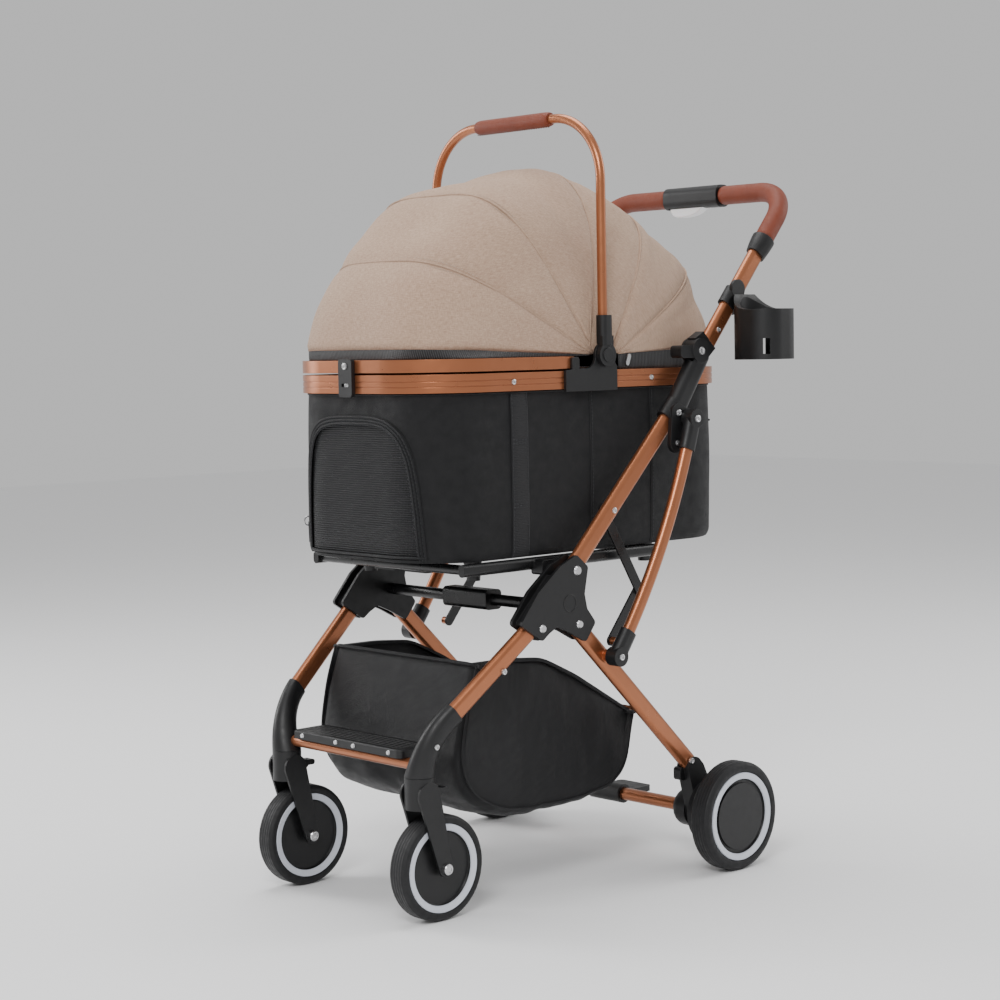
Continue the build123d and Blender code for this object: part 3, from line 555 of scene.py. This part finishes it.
def canopy():
    leans = smooth_cover()
    rows, outs = zip(*[cover_row(lean) for lean in leans])
    points, outs = np.array(rows), np.array(outs)
    held_leans = (*RIBS, COVER[0, 0], COVER[-1, 0])
    held = np.array([min(abs(lean - fixed) for fixed in held_leans) < 0.01 for lean in leans])
    for _ in range(2):
        middle = (np.roll(points, 1, 0) + np.roll(points, -1, 0) + 2 * points) / 4
        points = np.where(held[:, None, None], points, middle)
    near = np.array([min(abs(lean - rib) for rib in RIBS) for lean in leans])
    reach = np.linalg.norm(points - np.array([0, -0.02, COVER_FOOT]), axis=2)
    fade = np.clip(reach / 0.16, 0, 1)
    dip = -0.0022 * np.exp(-((near / 1.5) ** 2))[:, None] * fade
    puff = 0.0025 * np.clip(near / 6, 0, 1)[:, None] * fade
    crease = 0.0016 * ruffle(points * np.array([1.0, 0.6, 0.8]), 13, 1) + 0.0009 * ruffle(points, 34, 2)
    fan = np.sin(leans * 1.9 + 3 * np.sin(leans * 0.31))[:, None]
    fan = fan * 0.0018 * np.exp(-((reach - 0.09) / 0.07) ** 2)
    points = points + outs * (dip + puff + crease * fade + fan)[..., None]
    points[0], points[-1] = rows[0], rows[-1]
    replaced = ("canopy_front", "canopy_rear")
    cover = piece("canopy_cover", [grid(points)], CANOPY, replaces=replaced)
    thicken(cover, 0.0014)
    bend_with_hoop(cover)
    front_parts, rear_parts, front_thread, rear_thread = [], [], [], []
    for rib in RIBS:
        line, out = cover_row(rib, 181, 0.0)
        piping = sweep(line[3:-3], circle(0.0016, 8), out[3:-3])
        (front_parts if rib < 50 else rear_parts).append(piping)
        for shift in (-1.15, 1.15):
            row, row_out = cover_row(rib + shift, 181, 0.0004)
            span = slice(30, -30)
            (front_thread if rib < 50 else rear_thread).extend(stitches(row[span], row_out[span]))
    bend_with_hoop(piece("canopy_front_piping", front_parts, CANOPY))
    piece("canopy_rear_piping", rear_parts, CANOPY, "carrier")
    bend_with_hoop(piece("canopy_front_stitching", front_thread, TAUPE_THREAD))
    piece("canopy_rear_stitching", rear_thread, TAUPE_THREAD, "carrier")


def rounded_plan(inset, at, corner=0.110):
    """x, y and outward normal round the carrier's plan, drawn in by inset, and the plan's whole length.

    at gives arc lengths from the front middle.
    """
    half, front, back = 0.1785 - inset, -0.353 + inset, 0.291 - inset
    r = max(corner - inset, 0.004)
    straight, side, arc = half - r, back - front - 2 * r, math.pi / 2 * r
    total = 4 * straight + 2 * side + 4 * arc
    s = np.mod(np.asarray(at, float) + total / 2, total) - total / 2
    sign, s = np.where(s < 0, -1.0, 1.0), np.abs(s)
    edges = np.cumsum([straight, arc, side, arc])
    x, y, nx, ny = (np.zeros_like(s) for _ in range(4))
    m = s <= edges[0]
    x[m], y[m], ny[m] = s[m], front, -1
    m = (s > edges[0]) & (s <= edges[1])
    a = (s[m] - edges[0]) / r
    x[m], y[m], nx[m], ny[m] = straight + r * np.sin(a), front + r - r * np.cos(a), np.sin(a), -np.cos(a)
    m = (s > edges[1]) & (s <= edges[2])
    x[m], y[m], nx[m] = half, front + r + s[m] - edges[1], 1
    m = (s > edges[2]) & (s <= edges[3])
    a = (s[m] - edges[2]) / r
    x[m], y[m], nx[m], ny[m] = straight + r * np.cos(a), back - r + r * np.sin(a), np.cos(a), np.sin(a)
    m = s > edges[3]
    x[m], y[m], ny[m] = straight - (s[m] - edges[3]), back, 1
    return sign * x, y, sign * nx, ny, total


def plan_loop(inset, z, count, lift=0.0):
    total = rounded_plan(inset, [0.0])[4]
    at = (np.arange(count) / count - 0.5) * total
    x, y, nx, ny, _ = rounded_plan(inset, at)
    points = np.stack([x + nx * lift, y + ny * lift, np.full(count, z)], 1)
    return points, np.stack([nx, ny, np.zeros(count)], 1), at


HOOP_TOP, RIM_TOP = 0.7832, 0.7622


def zip_band():
    """Zipped band that joins the cover's hem to the hoop in front and to the rim behind."""
    hem, _ = cover_row(2.2, 241)
    rear, _ = cover_row(177.8, 241)
    inner, _, _ = plan_loop(0.0105, 0.77, 2000)
    for name, line, low in (("zip_band_front", hem, HOOP_TOP), ("zip_band_rear", rear, RIM_TOP)):
        nearest = np.array([inner[np.argmin(np.hypot(*(inner[:, :2] - p[:2]).T))] for p in line])
        rows = []
        for share in np.linspace(0, 1, 7):
            bow = math.sin(share * math.pi) * 0.0015
            row = nearest * (1 - share) + line * share
            row[:, 2] = low * (1 - share) + (line[:, 2] + 0.0015) * share
            row[:, :2] *= 1 + bow
            rows.append(row)
        points = np.array(rows)
        band = piece(name, [grid(points)], ZIP)
        thicken(band, 0.0012, 0.0)
        if low == HOOP_TOP:
            bend_with_hoop(band)
        else:
            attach(band, "carrier")


# ---------------------------------------------------------------- bag

BAG_LOW, BAG_TOP = 0.4985, 0.7355
WINDOW = np.array([
    (0, 0.704), (0.057, 0.7025), (0.090, 0.692), (0.1125, 0.663), (0.122, 0.625), (0.128, 0.575),
    (0.1335, 0.503),
])


def window_line(inward, count=160):
    """The arched window as (arc length, height) points from its left foot to its right, moved inward."""
    right = WINDOW[::-1]
    line = np.vstack([right * [-1, 1], WINDOW[1:]])
    at = np.hypot(*np.diff(line, axis=0, prepend=line[:1]).T).cumsum()
    even = np.linspace(0, at[-1], count)
    line = np.stack([np.interp(even, at, line[:, 0]), np.interp(even, at, line[:, 1])], 1)
    kernel = np.ones(15) / 15
    padded = np.pad(line, ((7, 7), (0, 0)), mode="reflect", reflect_type="odd")
    line = np.stack([np.convolve(padded[:, k], kernel, "valid") for k in (0, 1)], 1)
    run = np.gradient(line, axis=0)
    run /= np.linalg.norm(run, axis=1)[:, None]
    return line + np.stack([run[:, 1], -run[:, 0]], 1) * inward


def in_window(s, z, inward):
    line = window_line(inward)
    top = np.interp(np.abs(s), line[len(line) // 2:, 0], line[len(line) // 2:, 1], right=0)
    return (z < top) & (z > 0.5035)


def bag_wall(s, z, lift=0.0, inset=0.0078):
    """Points on the bag's outer wall at arc length s from the front middle, with outward normals."""
    s, z = np.broadcast_arrays(np.asarray(s, float), np.asarray(z, float))
    x, y, nx, ny, _ = rounded_plan(inset, s)
    height = np.clip((z - BAG_LOW) / (BAG_TOP - BAG_LOW), 0, 1)
    belly = 0.0022 * np.sin(math.pi * height) ** 0.8
    tuck = -0.004 * np.clip(1 - (z - BAG_LOW) / 0.012, 0, 1) ** 2
    spots = np.stack([x, y, z * 0.6], -1)
    waves = 0.0016 * ruffle(spots, 11, 3) * np.sin(math.pi * height) + 0.0007 * ruffle(spots, 30, 4)
    out = belly + tuck + waves + lift
    return np.stack([x + nx * out, y + ny * out, z], -1), np.stack([nx, ny, np.zeros_like(nx)], -1)


def on_wall(line, lift=0.0):
    return bag_wall(line[:, 0], line[:, 1], lift)


def bag():
    count = 460
    total = rounded_plan(0.0078, [0.0])[4]
    s = (np.arange(count) / count - 0.5) * total
    heights = np.linspace(BAG_LOW, BAG_TOP, 60)
    wall = [bag_wall(s, z)[0] for z in heights[::-1]]
    inner = [bag_wall(s, z, -0.0034)[0] for z in heights]
    inner[0][:, 2] += 0.0034
    floor_loops = [
        plan_loop(0.0078 + gap, BAG_LOW - drop, count)[0]
        for gap, drop in ((0.012, 0.0008), (0.03, 0.0008), (0.06, 0.0))
    ]
    points = np.array([*wall])
    keep = np.ones((len(wall) - 1, count), bool)
    middle_s = s + total / count / 2
    for i in range(len(wall) - 1):
        z = (wall[i][0, 2] + wall[i + 1][0, 2]) / 2
        keep[i] = ~in_window(middle_s, np.full(count, z), 0.008)
    uvs = np.stack(np.broadcast_arrays(s[None], heights[::-1][:, None]), 2)
    outer_part = grid(points, uvs, keep, closed=True)
    inner_points = np.array(inner)
    inner_keep = keep[::-1]
    inner_uvs = np.stack(np.broadcast_arrays(s[None], heights[:, None]), 2)
    inner_part = grid(inner_points, inner_uvs, inner_keep, closed=True)
    bottom = np.array([wall[-1], *floor_loops])
    bottom_part = grid(bottom, bottom[..., :2], None, closed=True)
    start = len(bottom_part[0]) - count
    bottom_part[1].append(tuple(range(start, start + count)))
    top_part = grid(np.array([inner[-1], wall[0]]), None, None, closed=True)
    floor = inner[0].copy()
    floor_part = (floor, [tuple(range(count))], floor[:, :2])
    piece(
        "bag_shell", [outer_part, inner_part, bottom_part, top_part, floor_part], BAG, "carrier",
        ("bag",),
    )

    # Net panel behind the window's rim
    us, zs = np.linspace(-0.136, 0.136, 150), np.linspace(0.5036, 0.7045, 110)
    grid_s, grid_z = np.meshgrid(us, zs)
    sag = -0.0022 - 0.0012 * np.sin(math.pi * (grid_z - 0.50) / 0.205)
    net, _ = bag_wall(grid_s, grid_z, sag)
    middle_z = (grid_z[:-1, :-1] + grid_z[1:, 1:]) / 2
    inside = in_window((grid_s[:-1, :-1] + grid_s[1:, 1:]) / 2, middle_z, 0.001)
    net_part = grid(net, np.stack([grid_s, grid_z], 2), inside)
    piece("window_net", [net_part], NET, "carrier", ("window_mesh",))

    # Three rolls of piping and a flat band round the window
    rolls = []
    for inward, radius in ((0.0005, 0.0021), (0.0052, 0.0019), (0.0098, 0.0019)):
        line, out = on_wall(window_line(inward), 0.0006)
        rolls.append(sweep(line, circle(radius, 10), out))
    line, out = on_wall(window_line(0.0050), -0.0004)
    rolls.append(sweep(line, strap(0.0125, 0.0012), out))
    sill, sill_out = bag_wall(np.linspace(-0.133, 0.133, 120), np.full(120, 0.5062), 0.0006)
    rolls.append(sweep(sill, circle(0.0022, 10), sill_out))
    piece("window_piping", rolls, BAND, "carrier")
    thread_parts = []
    for inward in (0.0029, 0.0075, 0.0125):
        line, out = on_wall(window_line(inward), 0.0010)
        thread_parts += stitches(line, out)
    piece("window_stitching", thread_parts, BLACK_THREAD, "carrier")

    # Piping round the bottom edge and the top edge
    loops = []
    for z, radius, lift in ((0.5002, 0.0024, -0.0028), (0.7342, 0.0014, 0.0004)):
        line, out = bag_wall(s, np.full(count, z), lift)
        loops.append(sweep(line, circle(radius, 10), out, closed=True))
    piece("bag_piping", loops, BAND, "carrier")

    # Side straps, seams, rear pocket
    strap_at = 0.5 * (0.272 + 0.305)
    web, seam, threads = [], [], []
    zs = np.linspace(0.5008, 0.7345, 60)
    line, out = bag_wall(np.full(60, strap_at), zs, 0.0002)
    web.append(sweep(line, strap(0.033, 0.0016), out))
    for edge in (-0.0145, 0.0145):
        stitch_line, stitch_out = bag_wall(np.full(60, strap_at + edge), zs, 0.0020)
        threads += stitches(stitch_line, stitch_out)
    for z in (0.570, 0.661):
        across = np.linspace(-0.0145, 0.0145, 14)
        for dz in (0, 0.006):
            stitch_line, stitch_out = bag_wall(strap_at + across, np.full(14, z + dz), 0.0020)
            threads += stitches(stitch_line, stitch_out)
        for way in (-1, 1):
            stitch_line, stitch_out = bag_wall(strap_at + across, z + 0.003 + way * across * 0.2, 0.0020)
            threads += stitches(stitch_line, stitch_out)
    for at in (0.432, 0.560):
        line, out = bag_wall(np.full(60, at), zs, 0.0001)
        seam.append(sweep(line, circle(0.0011, 8), out))
        stitch_line, stitch_out = bag_wall(np.full(60, at + 0.004), zs, 0.0004)
        threads += stitches(stitch_line, stitch_out)
    piece("side_straps", mirrored(web), WEB, "carrier")
    piece("side_seams", mirrored(seam), BAND, "carrier")
    piece("side_stitching", mirrored(threads), BLACK_THREAD, "carrier")

    half = total / 2
    us, zs = np.linspace(-0.112, 0.112, 70), np.linspace(0.560, 0.722, 50)
    grid_u, grid_z = np.meshgrid(us, zs)
    swell = np.clip(1 - np.abs(grid_u / 0.112) ** 4, 0, 1)
    swell = swell * np.clip(1 - np.abs((grid_z - 0.641) / 0.081) ** 4, 0, 1)
    pocket, _ = bag_wall(half + grid_u, grid_z, 0.0006 + 0.0062 * swell ** 0.6)
    flap_u, flap_z = np.meshgrid(np.linspace(-0.115, 0.115, 70), np.linspace(0.676, 0.7265, 24))
    droop = np.clip((0.7265 - flap_z) / 0.05, 0, 1)
    drape = droop ** 0.5 * np.clip(1 - np.abs(flap_u / 0.115) ** 6, 0.25, 1)
    flap, _ = bag_wall(half + flap_u, flap_z, 0.0012 + 0.0078 * drape)
    pocket_piece = piece("rear_pocket", [grid(pocket)], BAG, None)
    thicken(pocket_piece, 0.0012, 0.0)
    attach(pocket_piece, "carrier")
    flap_piece = piece("rear_pocket_flap", [grid(flap)], BAG, None)
    thicken(flap_piece, 0.0016, 0.0)
    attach(flap_piece, "carrier")
    edge = np.stack([np.linspace(-0.113, 0.113, 80), np.full(80, 0.6765)], 1)
    line, out = bag_wall(half + edge[:, 0], edge[:, 1], 0.0098)
    piece("rear_flap_binding", [sweep(line, circle(0.0018, 8), out)], BAND, "carrier")

    # Loop with a small ring at the lower front corner
    loop, out = bag_wall(np.full(12, -0.1345), np.linspace(0.515, 0.545, 12), 0.0010)
    tab = [sweep(loop, strap(0.012, 0.0026), out)]
    piece("corner_loop", tab, WEB, "carrier")
    centre, out = bag_wall(np.array([-0.1345]), np.array([0.5465]), 0.0042)
    angle = np.linspace(0, TURN, 33)[:-1]
    around = centre[0] + np.stack([np.zeros(32), np.cos(angle) * 0.0065, np.sin(angle) * 0.0065], 1)
    piece("corner_ring", [sweep(around, circle(0.0011, 8), closed=True)], STEEL, "carrier")


def cushion():
    """Stuffed floor pad, puffed by a short cloth simulation."""
    count, rows = 160, []
    for inset, z in (
        (0.120, 0.5045), (0.070, 0.5045), (0.030, 0.5045), (0.021, 0.507), (0.0185, 0.513), (0.021, 0.519),
        (0.030, 0.5215), (0.070, 0.5215), (0.120, 0.5215),
    ):
        rows.append(plan_loop(inset, z, count)[0])
    part = grid(np.array(rows), None, None, closed=True)
    part[1].append(tuple(range(count))[::-1])
    part[1].append(tuple(range(len(part[0]) - count, len(part[0]))))
    pad = piece("cushion_pad", [part], PLUSH, None, ("cushion",))
    pad.modifiers.new("even", "REMESH").mode = "VOXEL"
    pad.modifiers["even"].voxel_size = 0.0075
    settle(pad)
    before = np.array([v.co for v in pad.data.vertices], float).reshape(-1, 3)
    cloth = pad.modifiers.new("puff", "CLOTH")
    cloth.settings.use_pressure = True
    cloth.settings.uniform_pressure_force = 4
    cloth.settings.effector_weights.gravity = 0
    cloth.settings.quality = 5
    for step in range(1, 15):
        bpy.context.scene.frame_set(step)
    graph = bpy.context.evaluated_depsgraph_get()
    after = np.array([v.co for v in pad.evaluated_get(graph).data.vertices], float).reshape(-1, 3)
    pad.modifiers.clear()
    bpy.context.scene.frame_set(1)
    move = after - before
    size = np.linalg.norm(move, axis=1)[:, None]
    move *= np.minimum(1, 0.010 / np.maximum(size, 1e-9))
    move[:, 2] = np.where(before[:, 2] < 0.512, np.maximum(move[:, 2], -0.0015), move[:, 2])
    move[:, :2] *= 0.3
    pad.data.vertices.foreach_set("co", (before + move).astype(np.float32).ravel())
    points = np.array([v.co for v in pad.data.vertices], float).reshape(-1, 3)
    channel = np.zeros(len(points))
    for y in (-0.19, -0.03, 0.13):
        channel += np.exp(-(((points[:, 1] - y) / 0.006) ** 2))
    points[:, 2] -= np.where(points[:, 2] > 0.515, 0.007 * np.clip(channel, 0, 1), 0)
    pad.data.vertices.foreach_set("co", points.astype(np.float32).ravel())
    pad.modifiers.new("smooth", "SUBSURF").levels = 1
    settle(pad)
    pad.data.polygons.foreach_set("use_smooth", [True] * len(pad.data.polygons))
    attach(pad, "carrier")
    line, out, _ = plan_loop(0.0175, 0.5130, 300)
    piping = sweep(line, circle(0.0022, 8), out, closed=True)
    piece("cushion_piping", [piping], PLUSH, "carrier")


# ---------------------------------------------------------------- storage basket

BASKET_PATH = np.array([
    (-0.262, 0.350), (-0.283, 0.285), (-0.299, 0.220), (-0.292, 0.180), (-0.268, 0.150), (-0.215, 0.127),
    (-0.140, 0.122), (-0.060, 0.124), (0.000, 0.134), (0.036, 0.152), (0.043, 0.200), (0.056, 0.243),
])
BASKET_RIM = np.array([(-0.262, 0.350), (-0.190, 0.349), (-0.125, 0.343), (-0.060, 0.312), (0.056, 0.243)])
BASKET_X = 0.1585


def resample(line, count):
    at = np.linalg.norm(np.diff(line, axis=0, prepend=line[:1]), axis=1).cumsum()
    even = np.linspace(0, at[-1], count)
    return np.stack([np.interp(even, at, line[:, k]) for k in range(line.shape[1])], 1)


def relax(line, times):
    """Rounds a line's corners, keeping its ends."""
    line = line.copy()
    for _ in range(times):
        line[1:-1] = (line[:-2] + 2 * line[1:-1] + line[2:]) / 4
    return line


BINDING_SECTION = (
    (0.0022, -0.006), (0.0028, 0), (0.0022, 0.006), (-0.0022, 0.006), (-0.0028, 0), (-0.0022, -0.006)
)


def basket():
    count = 90
    low = relax(resample(BASKET_PATH, count), 14)
    rim = relax(resample(BASKET_RIM, count), 10)
    along = np.linspace(0, 1, count)
    columns = []
    side_steps = np.linspace(0, 1, 26)
    across = np.linspace(-1, 1, 52)
    for share in side_steps[:-1]:
        p = rim * (1 - share) + low * share
        x = np.full(count, -(BASKET_X - 0.012 * (1 - share) ** 2))
        columns.append(np.stack([x, p[:, 0], p[:, 1]], 1))
    for u in across:
        lift = 0.012 * np.clip((abs(u) - 0.9) / 0.1, 0, 1) ** 2
        centre = np.array([-0.13, 0.27])
        p = low + (centre - low) / np.linalg.norm(centre - low, axis=1)[:, None] * lift
        sag = -0.006 * (1 - u * u) * np.exp(-(((along - 0.62) / 0.25) ** 2))
        columns.append(np.stack([np.full(count, u * BASKET_X), p[:, 0], p[:, 1] + sag], 1))
    for share in side_steps[::-1][1:]:
        mirror = columns[int(round(share * 25))]
        columns.append(mirror * np.array([-1, 1, 1]))
    points = np.array(columns).transpose(1, 0, 2)
    centre = np.array([0, -0.12, 0.26])
    out = points - centre
    out /= np.linalg.norm(out, axis=2)[..., None]
    folds = 0.0042 * ruffle(points * np.array([1.0, 1.0, 0.55]), 11, 5)
    folds = folds + 0.0022 * ruffle(points * np.array([1, 1.6, 0.5]), 27, 6)
    edge = np.ones(points.shape[:2])
    edge[:, 0] = edge[:, -1] = 0
    edge[0] = edge[-1] = 0
    points = points + out * np.minimum(folds, 0.0035)[..., None] * edge[..., None]
    points[..., 0] = np.clip(points[..., 0], -0.1625, 0.1625)
    shell = piece("basket_shell", [grid(points)], BASKET, None, ("storage_basket",))
    thicken(shell, 0.0016, -1.0)
    bind = []
    for edge_line in (points[:, 0], points[:, -1], points[0, 24:-24], points[-1, 24:-24]):
        line = resample(edge_line, 120)
        bind.append(sweep(line, BINDING_SECTION))
    binding = piece("basket_binding", bind, BAND, None)
    threads = []
    for column in (24, -25):
        line = points[:, column]
        threads += stitches(line, out[:, column], lift=0.0008)
    line = points[3, 24:-24]
    threads += stitches(line, out[3, 24:-24], lift=0.0008)
    seam = piece("basket_stitching", threads, BLACK_THREAD, None)
    piping = [
        sweep(points[:, column] + out[:, column] * 0.0006, circle(0.0016, 8), out[:, column])
        for column in (24, -25)
    ]
    cord = piece("basket_piping", piping, BAND, None)
    for obj in (shell, binding, seam, cord):
        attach(obj, "base")
        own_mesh(obj)


# ---------------------------------------------------------------- grips


def handle_path(start_x, trim):
    """Centreline of one grip: up the side tube, round the bend and along the bar."""
    corner, top = np.array([0.200, 0.390, 1.037]), np.array([0.200, 0.306, 0.938])
    rise = (corner - top) / np.linalg.norm(corner - top)
    bend = 0.062
    first = top + rise * trim
    before, after = corner - rise * bend, corner + np.array([-bend, 0, 0])
    centre = before + np.array([-bend, 0, 0])
    angle = np.linspace(0, math.pi / 2, 40)[:, None]
    arc = centre + np.array([bend, 0, 0]) * np.cos(angle) + rise * bend * np.sin(angle)
    straight = np.linspace(first, before, 12)[:-1]
    bar = np.linspace(after, np.array([start_x, 0.390, 1.037]), 24)[1:]
    return resample(np.vstack([straight, arc, bar]), 140), rise


def grips():
    path, rise = handle_path(0.0598, 0.0265)
    tangent = smooth_turns(path, False)
    face = np.cross(rise, [-1.0, 0, 0])
    face /= np.linalg.norm(face)
    normals = np.tile(face, (len(path), 1))
    side = np.cross(tangent, normals)
    at = np.linspace(0, 1, len(path))
    swell = 0.0153 - 0.0012 * np.exp(-((at / 0.012) ** 2)) - 0.0012 * np.exp(-(((1 - at) / 0.012) ** 2))
    rings, sides = [], 40
    angle = np.arange(sides) * TURN / sides
    seam = 0.0007 * np.exp(-(((angle - math.pi) / 0.07) ** 2))
    for p, n, b, r in zip(path, normals, side, swell):
        radius = r - seam
        out, across = (np.cos(angle) * radius)[:, None], (np.sin(angle) * radius)[:, None]
        rings.append(p + out * n + across * b)
    part = grid(np.array(rings), None, None, closed=True)
    part[1].append(tuple(range(sides)))
    part[1].append(tuple(range(len(part[0]) - sides, len(part[0])))[::-1])
    piece("handle_grips", mirrored([part]), LEATHER, "upper_handle", ("grips",))
    threads = []
    for shift in (-0.16, 0.16):
        a = math.pi + shift
        line = path + (np.cos(a) * normals + np.sin(a) * side) * 0.0152
        out = np.cos(a) * normals + np.sin(a) * side
        threads += stitches(line, out, 0.0030, 0.0022, 0.0005)
    piece("grip_stitching", mirrored(threads), BROWN_THREAD, "upper_handle")

    line = np.stack([np.linspace(-0.0795, 0.0795, 60), np.full(60, -0.020), np.full(60, 1.135)], 1)
    at = np.linspace(-1, 1, 60)
    swell = 0.0112 - 0.0016 * np.abs(at) ** 24
    rings = []
    for p, r in zip(line, swell):
        radius = r - 0.0006 * np.exp(-(((angle - math.pi) / 0.09) ** 2))
        rings.append(p + np.stack([np.zeros(sides), np.sin(angle) * radius, np.cos(angle) * radius], 1))
    part = grid(np.array(rings), None, None, closed=True)
    part[1].append(tuple(range(sides)))
    part[1].append(tuple(range(len(part[0]) - sides, len(part[0])))[::-1])
    piece("carry_handle_grip", [part], LEATHER, "carry_handle", ("carry_grip",))
    threads = []
    for shift in (-0.0021, 0.0021):
        row = line + np.array([0, shift, -0.0111])
        threads += stitches(row, np.tile([0.0, 0.0, -1.0], (60, 1)), 0.0030, 0.0022, 0.0005)
    piece("carry_grip_stitching", threads, BROWN_THREAD, "carry_handle")


# ---------------------------------------------------------------- wheels and hardware


# Turned sections as (radius, distance from the wheel's middle plane).
FRONT_RING = ((0.0525, 0.0128), (0.0532, 0.0144), (0.0618, 0.0160), (0.0625, 0.0150), (0.0625, 0.0128))
REAR_RING = ((0.0566, 0.0138), (0.0573, 0.0156), (0.0660, 0.0170), (0.0667, 0.0160), (0.0667, 0.0138))
REAR_INNER_RIM = ((0.0573, 0.0150), (0.0573, 0.0158), (0.0600, 0.0165), (0.0640, 0.0165), (0.0640, 0.0150))
AXLE_BOLT = (
    (0.0078, 0.0210), (0.0078, 0.0262), (0.0066, 0.0275), (0.0046, 0.0277), (0.0040, 0.0262), (POLE, 0.0258)
)


def wheel_trim():
    for name, sign in (("right", 1), ("left", -1)):
        x, y, z = sign * 0.151, -0.338, 0.075
        rings, nuts = [], []
        for way in (-1, 1):
            rings.append(lathe(FRONT_RING, (x, y, z), (way, 0, 0), 128, ring=True))
            nuts.append(lathe(AXLE_BOLT, (x, y, z), (way, 0, 0), 24))
        piece(f"front_ring_{name}", rings, RING, f"front_wheel_{name}")
        piece(f"front_axle_bolt_{name}", nuts, STEEL, f"caster_{name}")
        x, y, z = sign * 0.264, 0.164, 0.0825
        ring = lathe(REAR_RING, (x, y, z), (sign, 0, 0), 128, ring=True)
        piece(f"rear_ring_{name}", [ring], RING, f"rear_wheel_{name}")
        back = lathe(REAR_INNER_RIM, (x, y, z), (-sign, 0, 0), 96, ring=True)
        piece(f"rear_rim_{name}", [back], GLOSSY_BLACK, f"rear_wheel_{name}")


def hardware():
    base, upper, lower, carrier, legs, braces = [], [], [], [], [], []
    for sign in (1, -1):
        side = (sign, 0, 0)
        for y, z, r in ((-0.247, 0.344, 0.0045), (-0.357, 0.250, 0.0042)):
            x = 0.2005 if y > -0.3 else 0.1795
            base.append(rivet((sign * (x - 0.001), y, z), side, r, 0.0022, hollow=True))
        for y, z in ((-0.029, 0.557),):
            lower.append(rivet((sign * 0.208, y, z), side, 0.0046, 0.0022, hollow=True))
        for y, z, r in ((0.104, 0.695, 0.0052), (0.101, 0.650, 0.0046)):
            lower.append(rivet((sign * 0.216, y, z), side, r, 0.0024, hollow=True))
        lower.append(rivet((sign * 0.213, 0.161, 0.787), side, 0.0062, 0.0024, hollow=True))
        braces.append(rivet((sign * 0.2395, 0.120, 0.686), side, 0.0056, 0.0026, hollow=True))
        braces.append(rivet((sign * 0.239, -0.050, 0.346), side, 0.0050, 0.0024, hollow=True))
        legs.append(rivet((sign * 0.212, 0.128, 0.164), side, 0.0046, 0.0022, hollow=True))
        upper.append(rivet((sign * 0.208, 0.205, 0.8185), side, 0.0042, 0.0020, hollow=True))
        carrier.append(rivet((sign * 0.1785, -0.199, 0.749), side, 0.0042, 0.0020, hollow=True))
        carrier.append(rivet((sign * 0.1785, 0.085, 0.749), side, 0.0042, 0.0020, hollow=True))
    carrier.append(rivet((0, -0.3562, 0.748), (0, -1, 0), 0.0052, 0.0022, hollow=True))
    piece("frame_studs", base, STEEL, "base")
    piece("lower_handle_studs", lower, STEEL, "lower_handle")
    piece("brace_studs", braces, STEEL, "curved_braces")
    piece("rear_leg_studs", legs, STEEL, "rear_legs")
    piece("upper_handle_studs", upper, STEEL, "upper_handle")
    piece("carrier_studs", carrier, STEEL, "carrier")
    latch = [rivet((0, -0.3598, 0.775), (0, -1, 0), 0.0050, 0.0022, hollow=True)]
    piece("latch_stud", latch, STEEL, "latch")
    screw = [rivet((0.030, 0.3905, 1.0195), (0, 0, -1), 0.0030, 0.0012, hollow=True)]
    piece("handle_screw", screw, STEEL, "upper_handle")


canopy()
zip_band()
bag()
cushion()
basket()
grips()
wheel_trim()
hardware()

# ---------------------------------------------------------------- studio


def studio():
    floor_mesh = bpy.data.meshes.new("studio_floor")
    size = 9.0
    corners = [(-size, -size, 0), (size, -size, 0), (size, size, 0), (-size, size, 0)]
    floor_mesh.from_pydata(corners, [], [(0, 1, 2, 3)])
    floor = bpy.data.objects.new("studio_floor", floor_mesh)
    bpy.context.scene.collection.objects.link(floor)
    look = Look("studio_floor", (0.93, 0.93, 0.935), 0.75)
    floor_mesh.materials.append(look.material)
    world = bpy.data.worlds.new("studio")
    bpy.context.scene.world = world
    world.use_nodes = True
    world.node_tree.nodes["Background"].inputs[0].default_value = (1.0, 1.0, 1.0, 1.0)
    world.node_tree.nodes["Background"].inputs[1].default_value = 0.62
    for name, place, power, width, height in (
        ("key", (1.9, -2.6, 2.6), 75, 1.3, 1.3),
        ("left", (-3.0, -1.6, 1.8), 55, 1.2, 2.2),
        ("top", (-0.4, 0.1, 3.4), 60, 2.0, 2.0),
        ("back", (1.5, 3.2, 2.2), 40, 2.0, 2.0),
    ):
        light = bpy.data.lights.new(name, "AREA")
        light.energy, light.shape, light.size, light.size_y = power, "RECTANGLE", width, height
        holder = bpy.data.objects.new(name, light)
        bpy.context.scene.collection.objects.link(holder)
        holder.location = place
        holder.rotation_euler = (Vector((0, 0, 0.6)) - Vector(place)).to_track_quat("-Z", "Y").to_euler()


def camera():
    azimuth, elevation, roll = math.radians(47.1), math.radians(4.17), math.radians(-1.07)
    level = math.cos(elevation)
    back = Vector((math.sin(azimuth) * level, -math.cos(azimuth) * level, math.sin(elevation)))
    right = Vector((math.cos(azimuth), math.sin(azimuth), 0))
    up = back.cross(right)
    rolled_right = right * math.cos(roll) + up * math.sin(roll)
    rolled_up = back.cross(rolled_right)
    data = bpy.data.cameras.new("camera")
    data.sensor_width, data.lens = 36.0, 76.94
    data.clip_start, data.clip_end = 0.05, 60
    holder = bpy.data.objects.new("camera", data)
    bpy.context.scene.collection.objects.link(holder)
    turn = Matrix((rolled_right, rolled_up, back)).transposed().to_4x4()
    holder.matrix_world = Matrix.Translation((2.3757, -2.2711, 0.8024)) @ turn
    bpy.context.scene.camera = holder


studio()
camera()
bpy.context.view_layer.update()
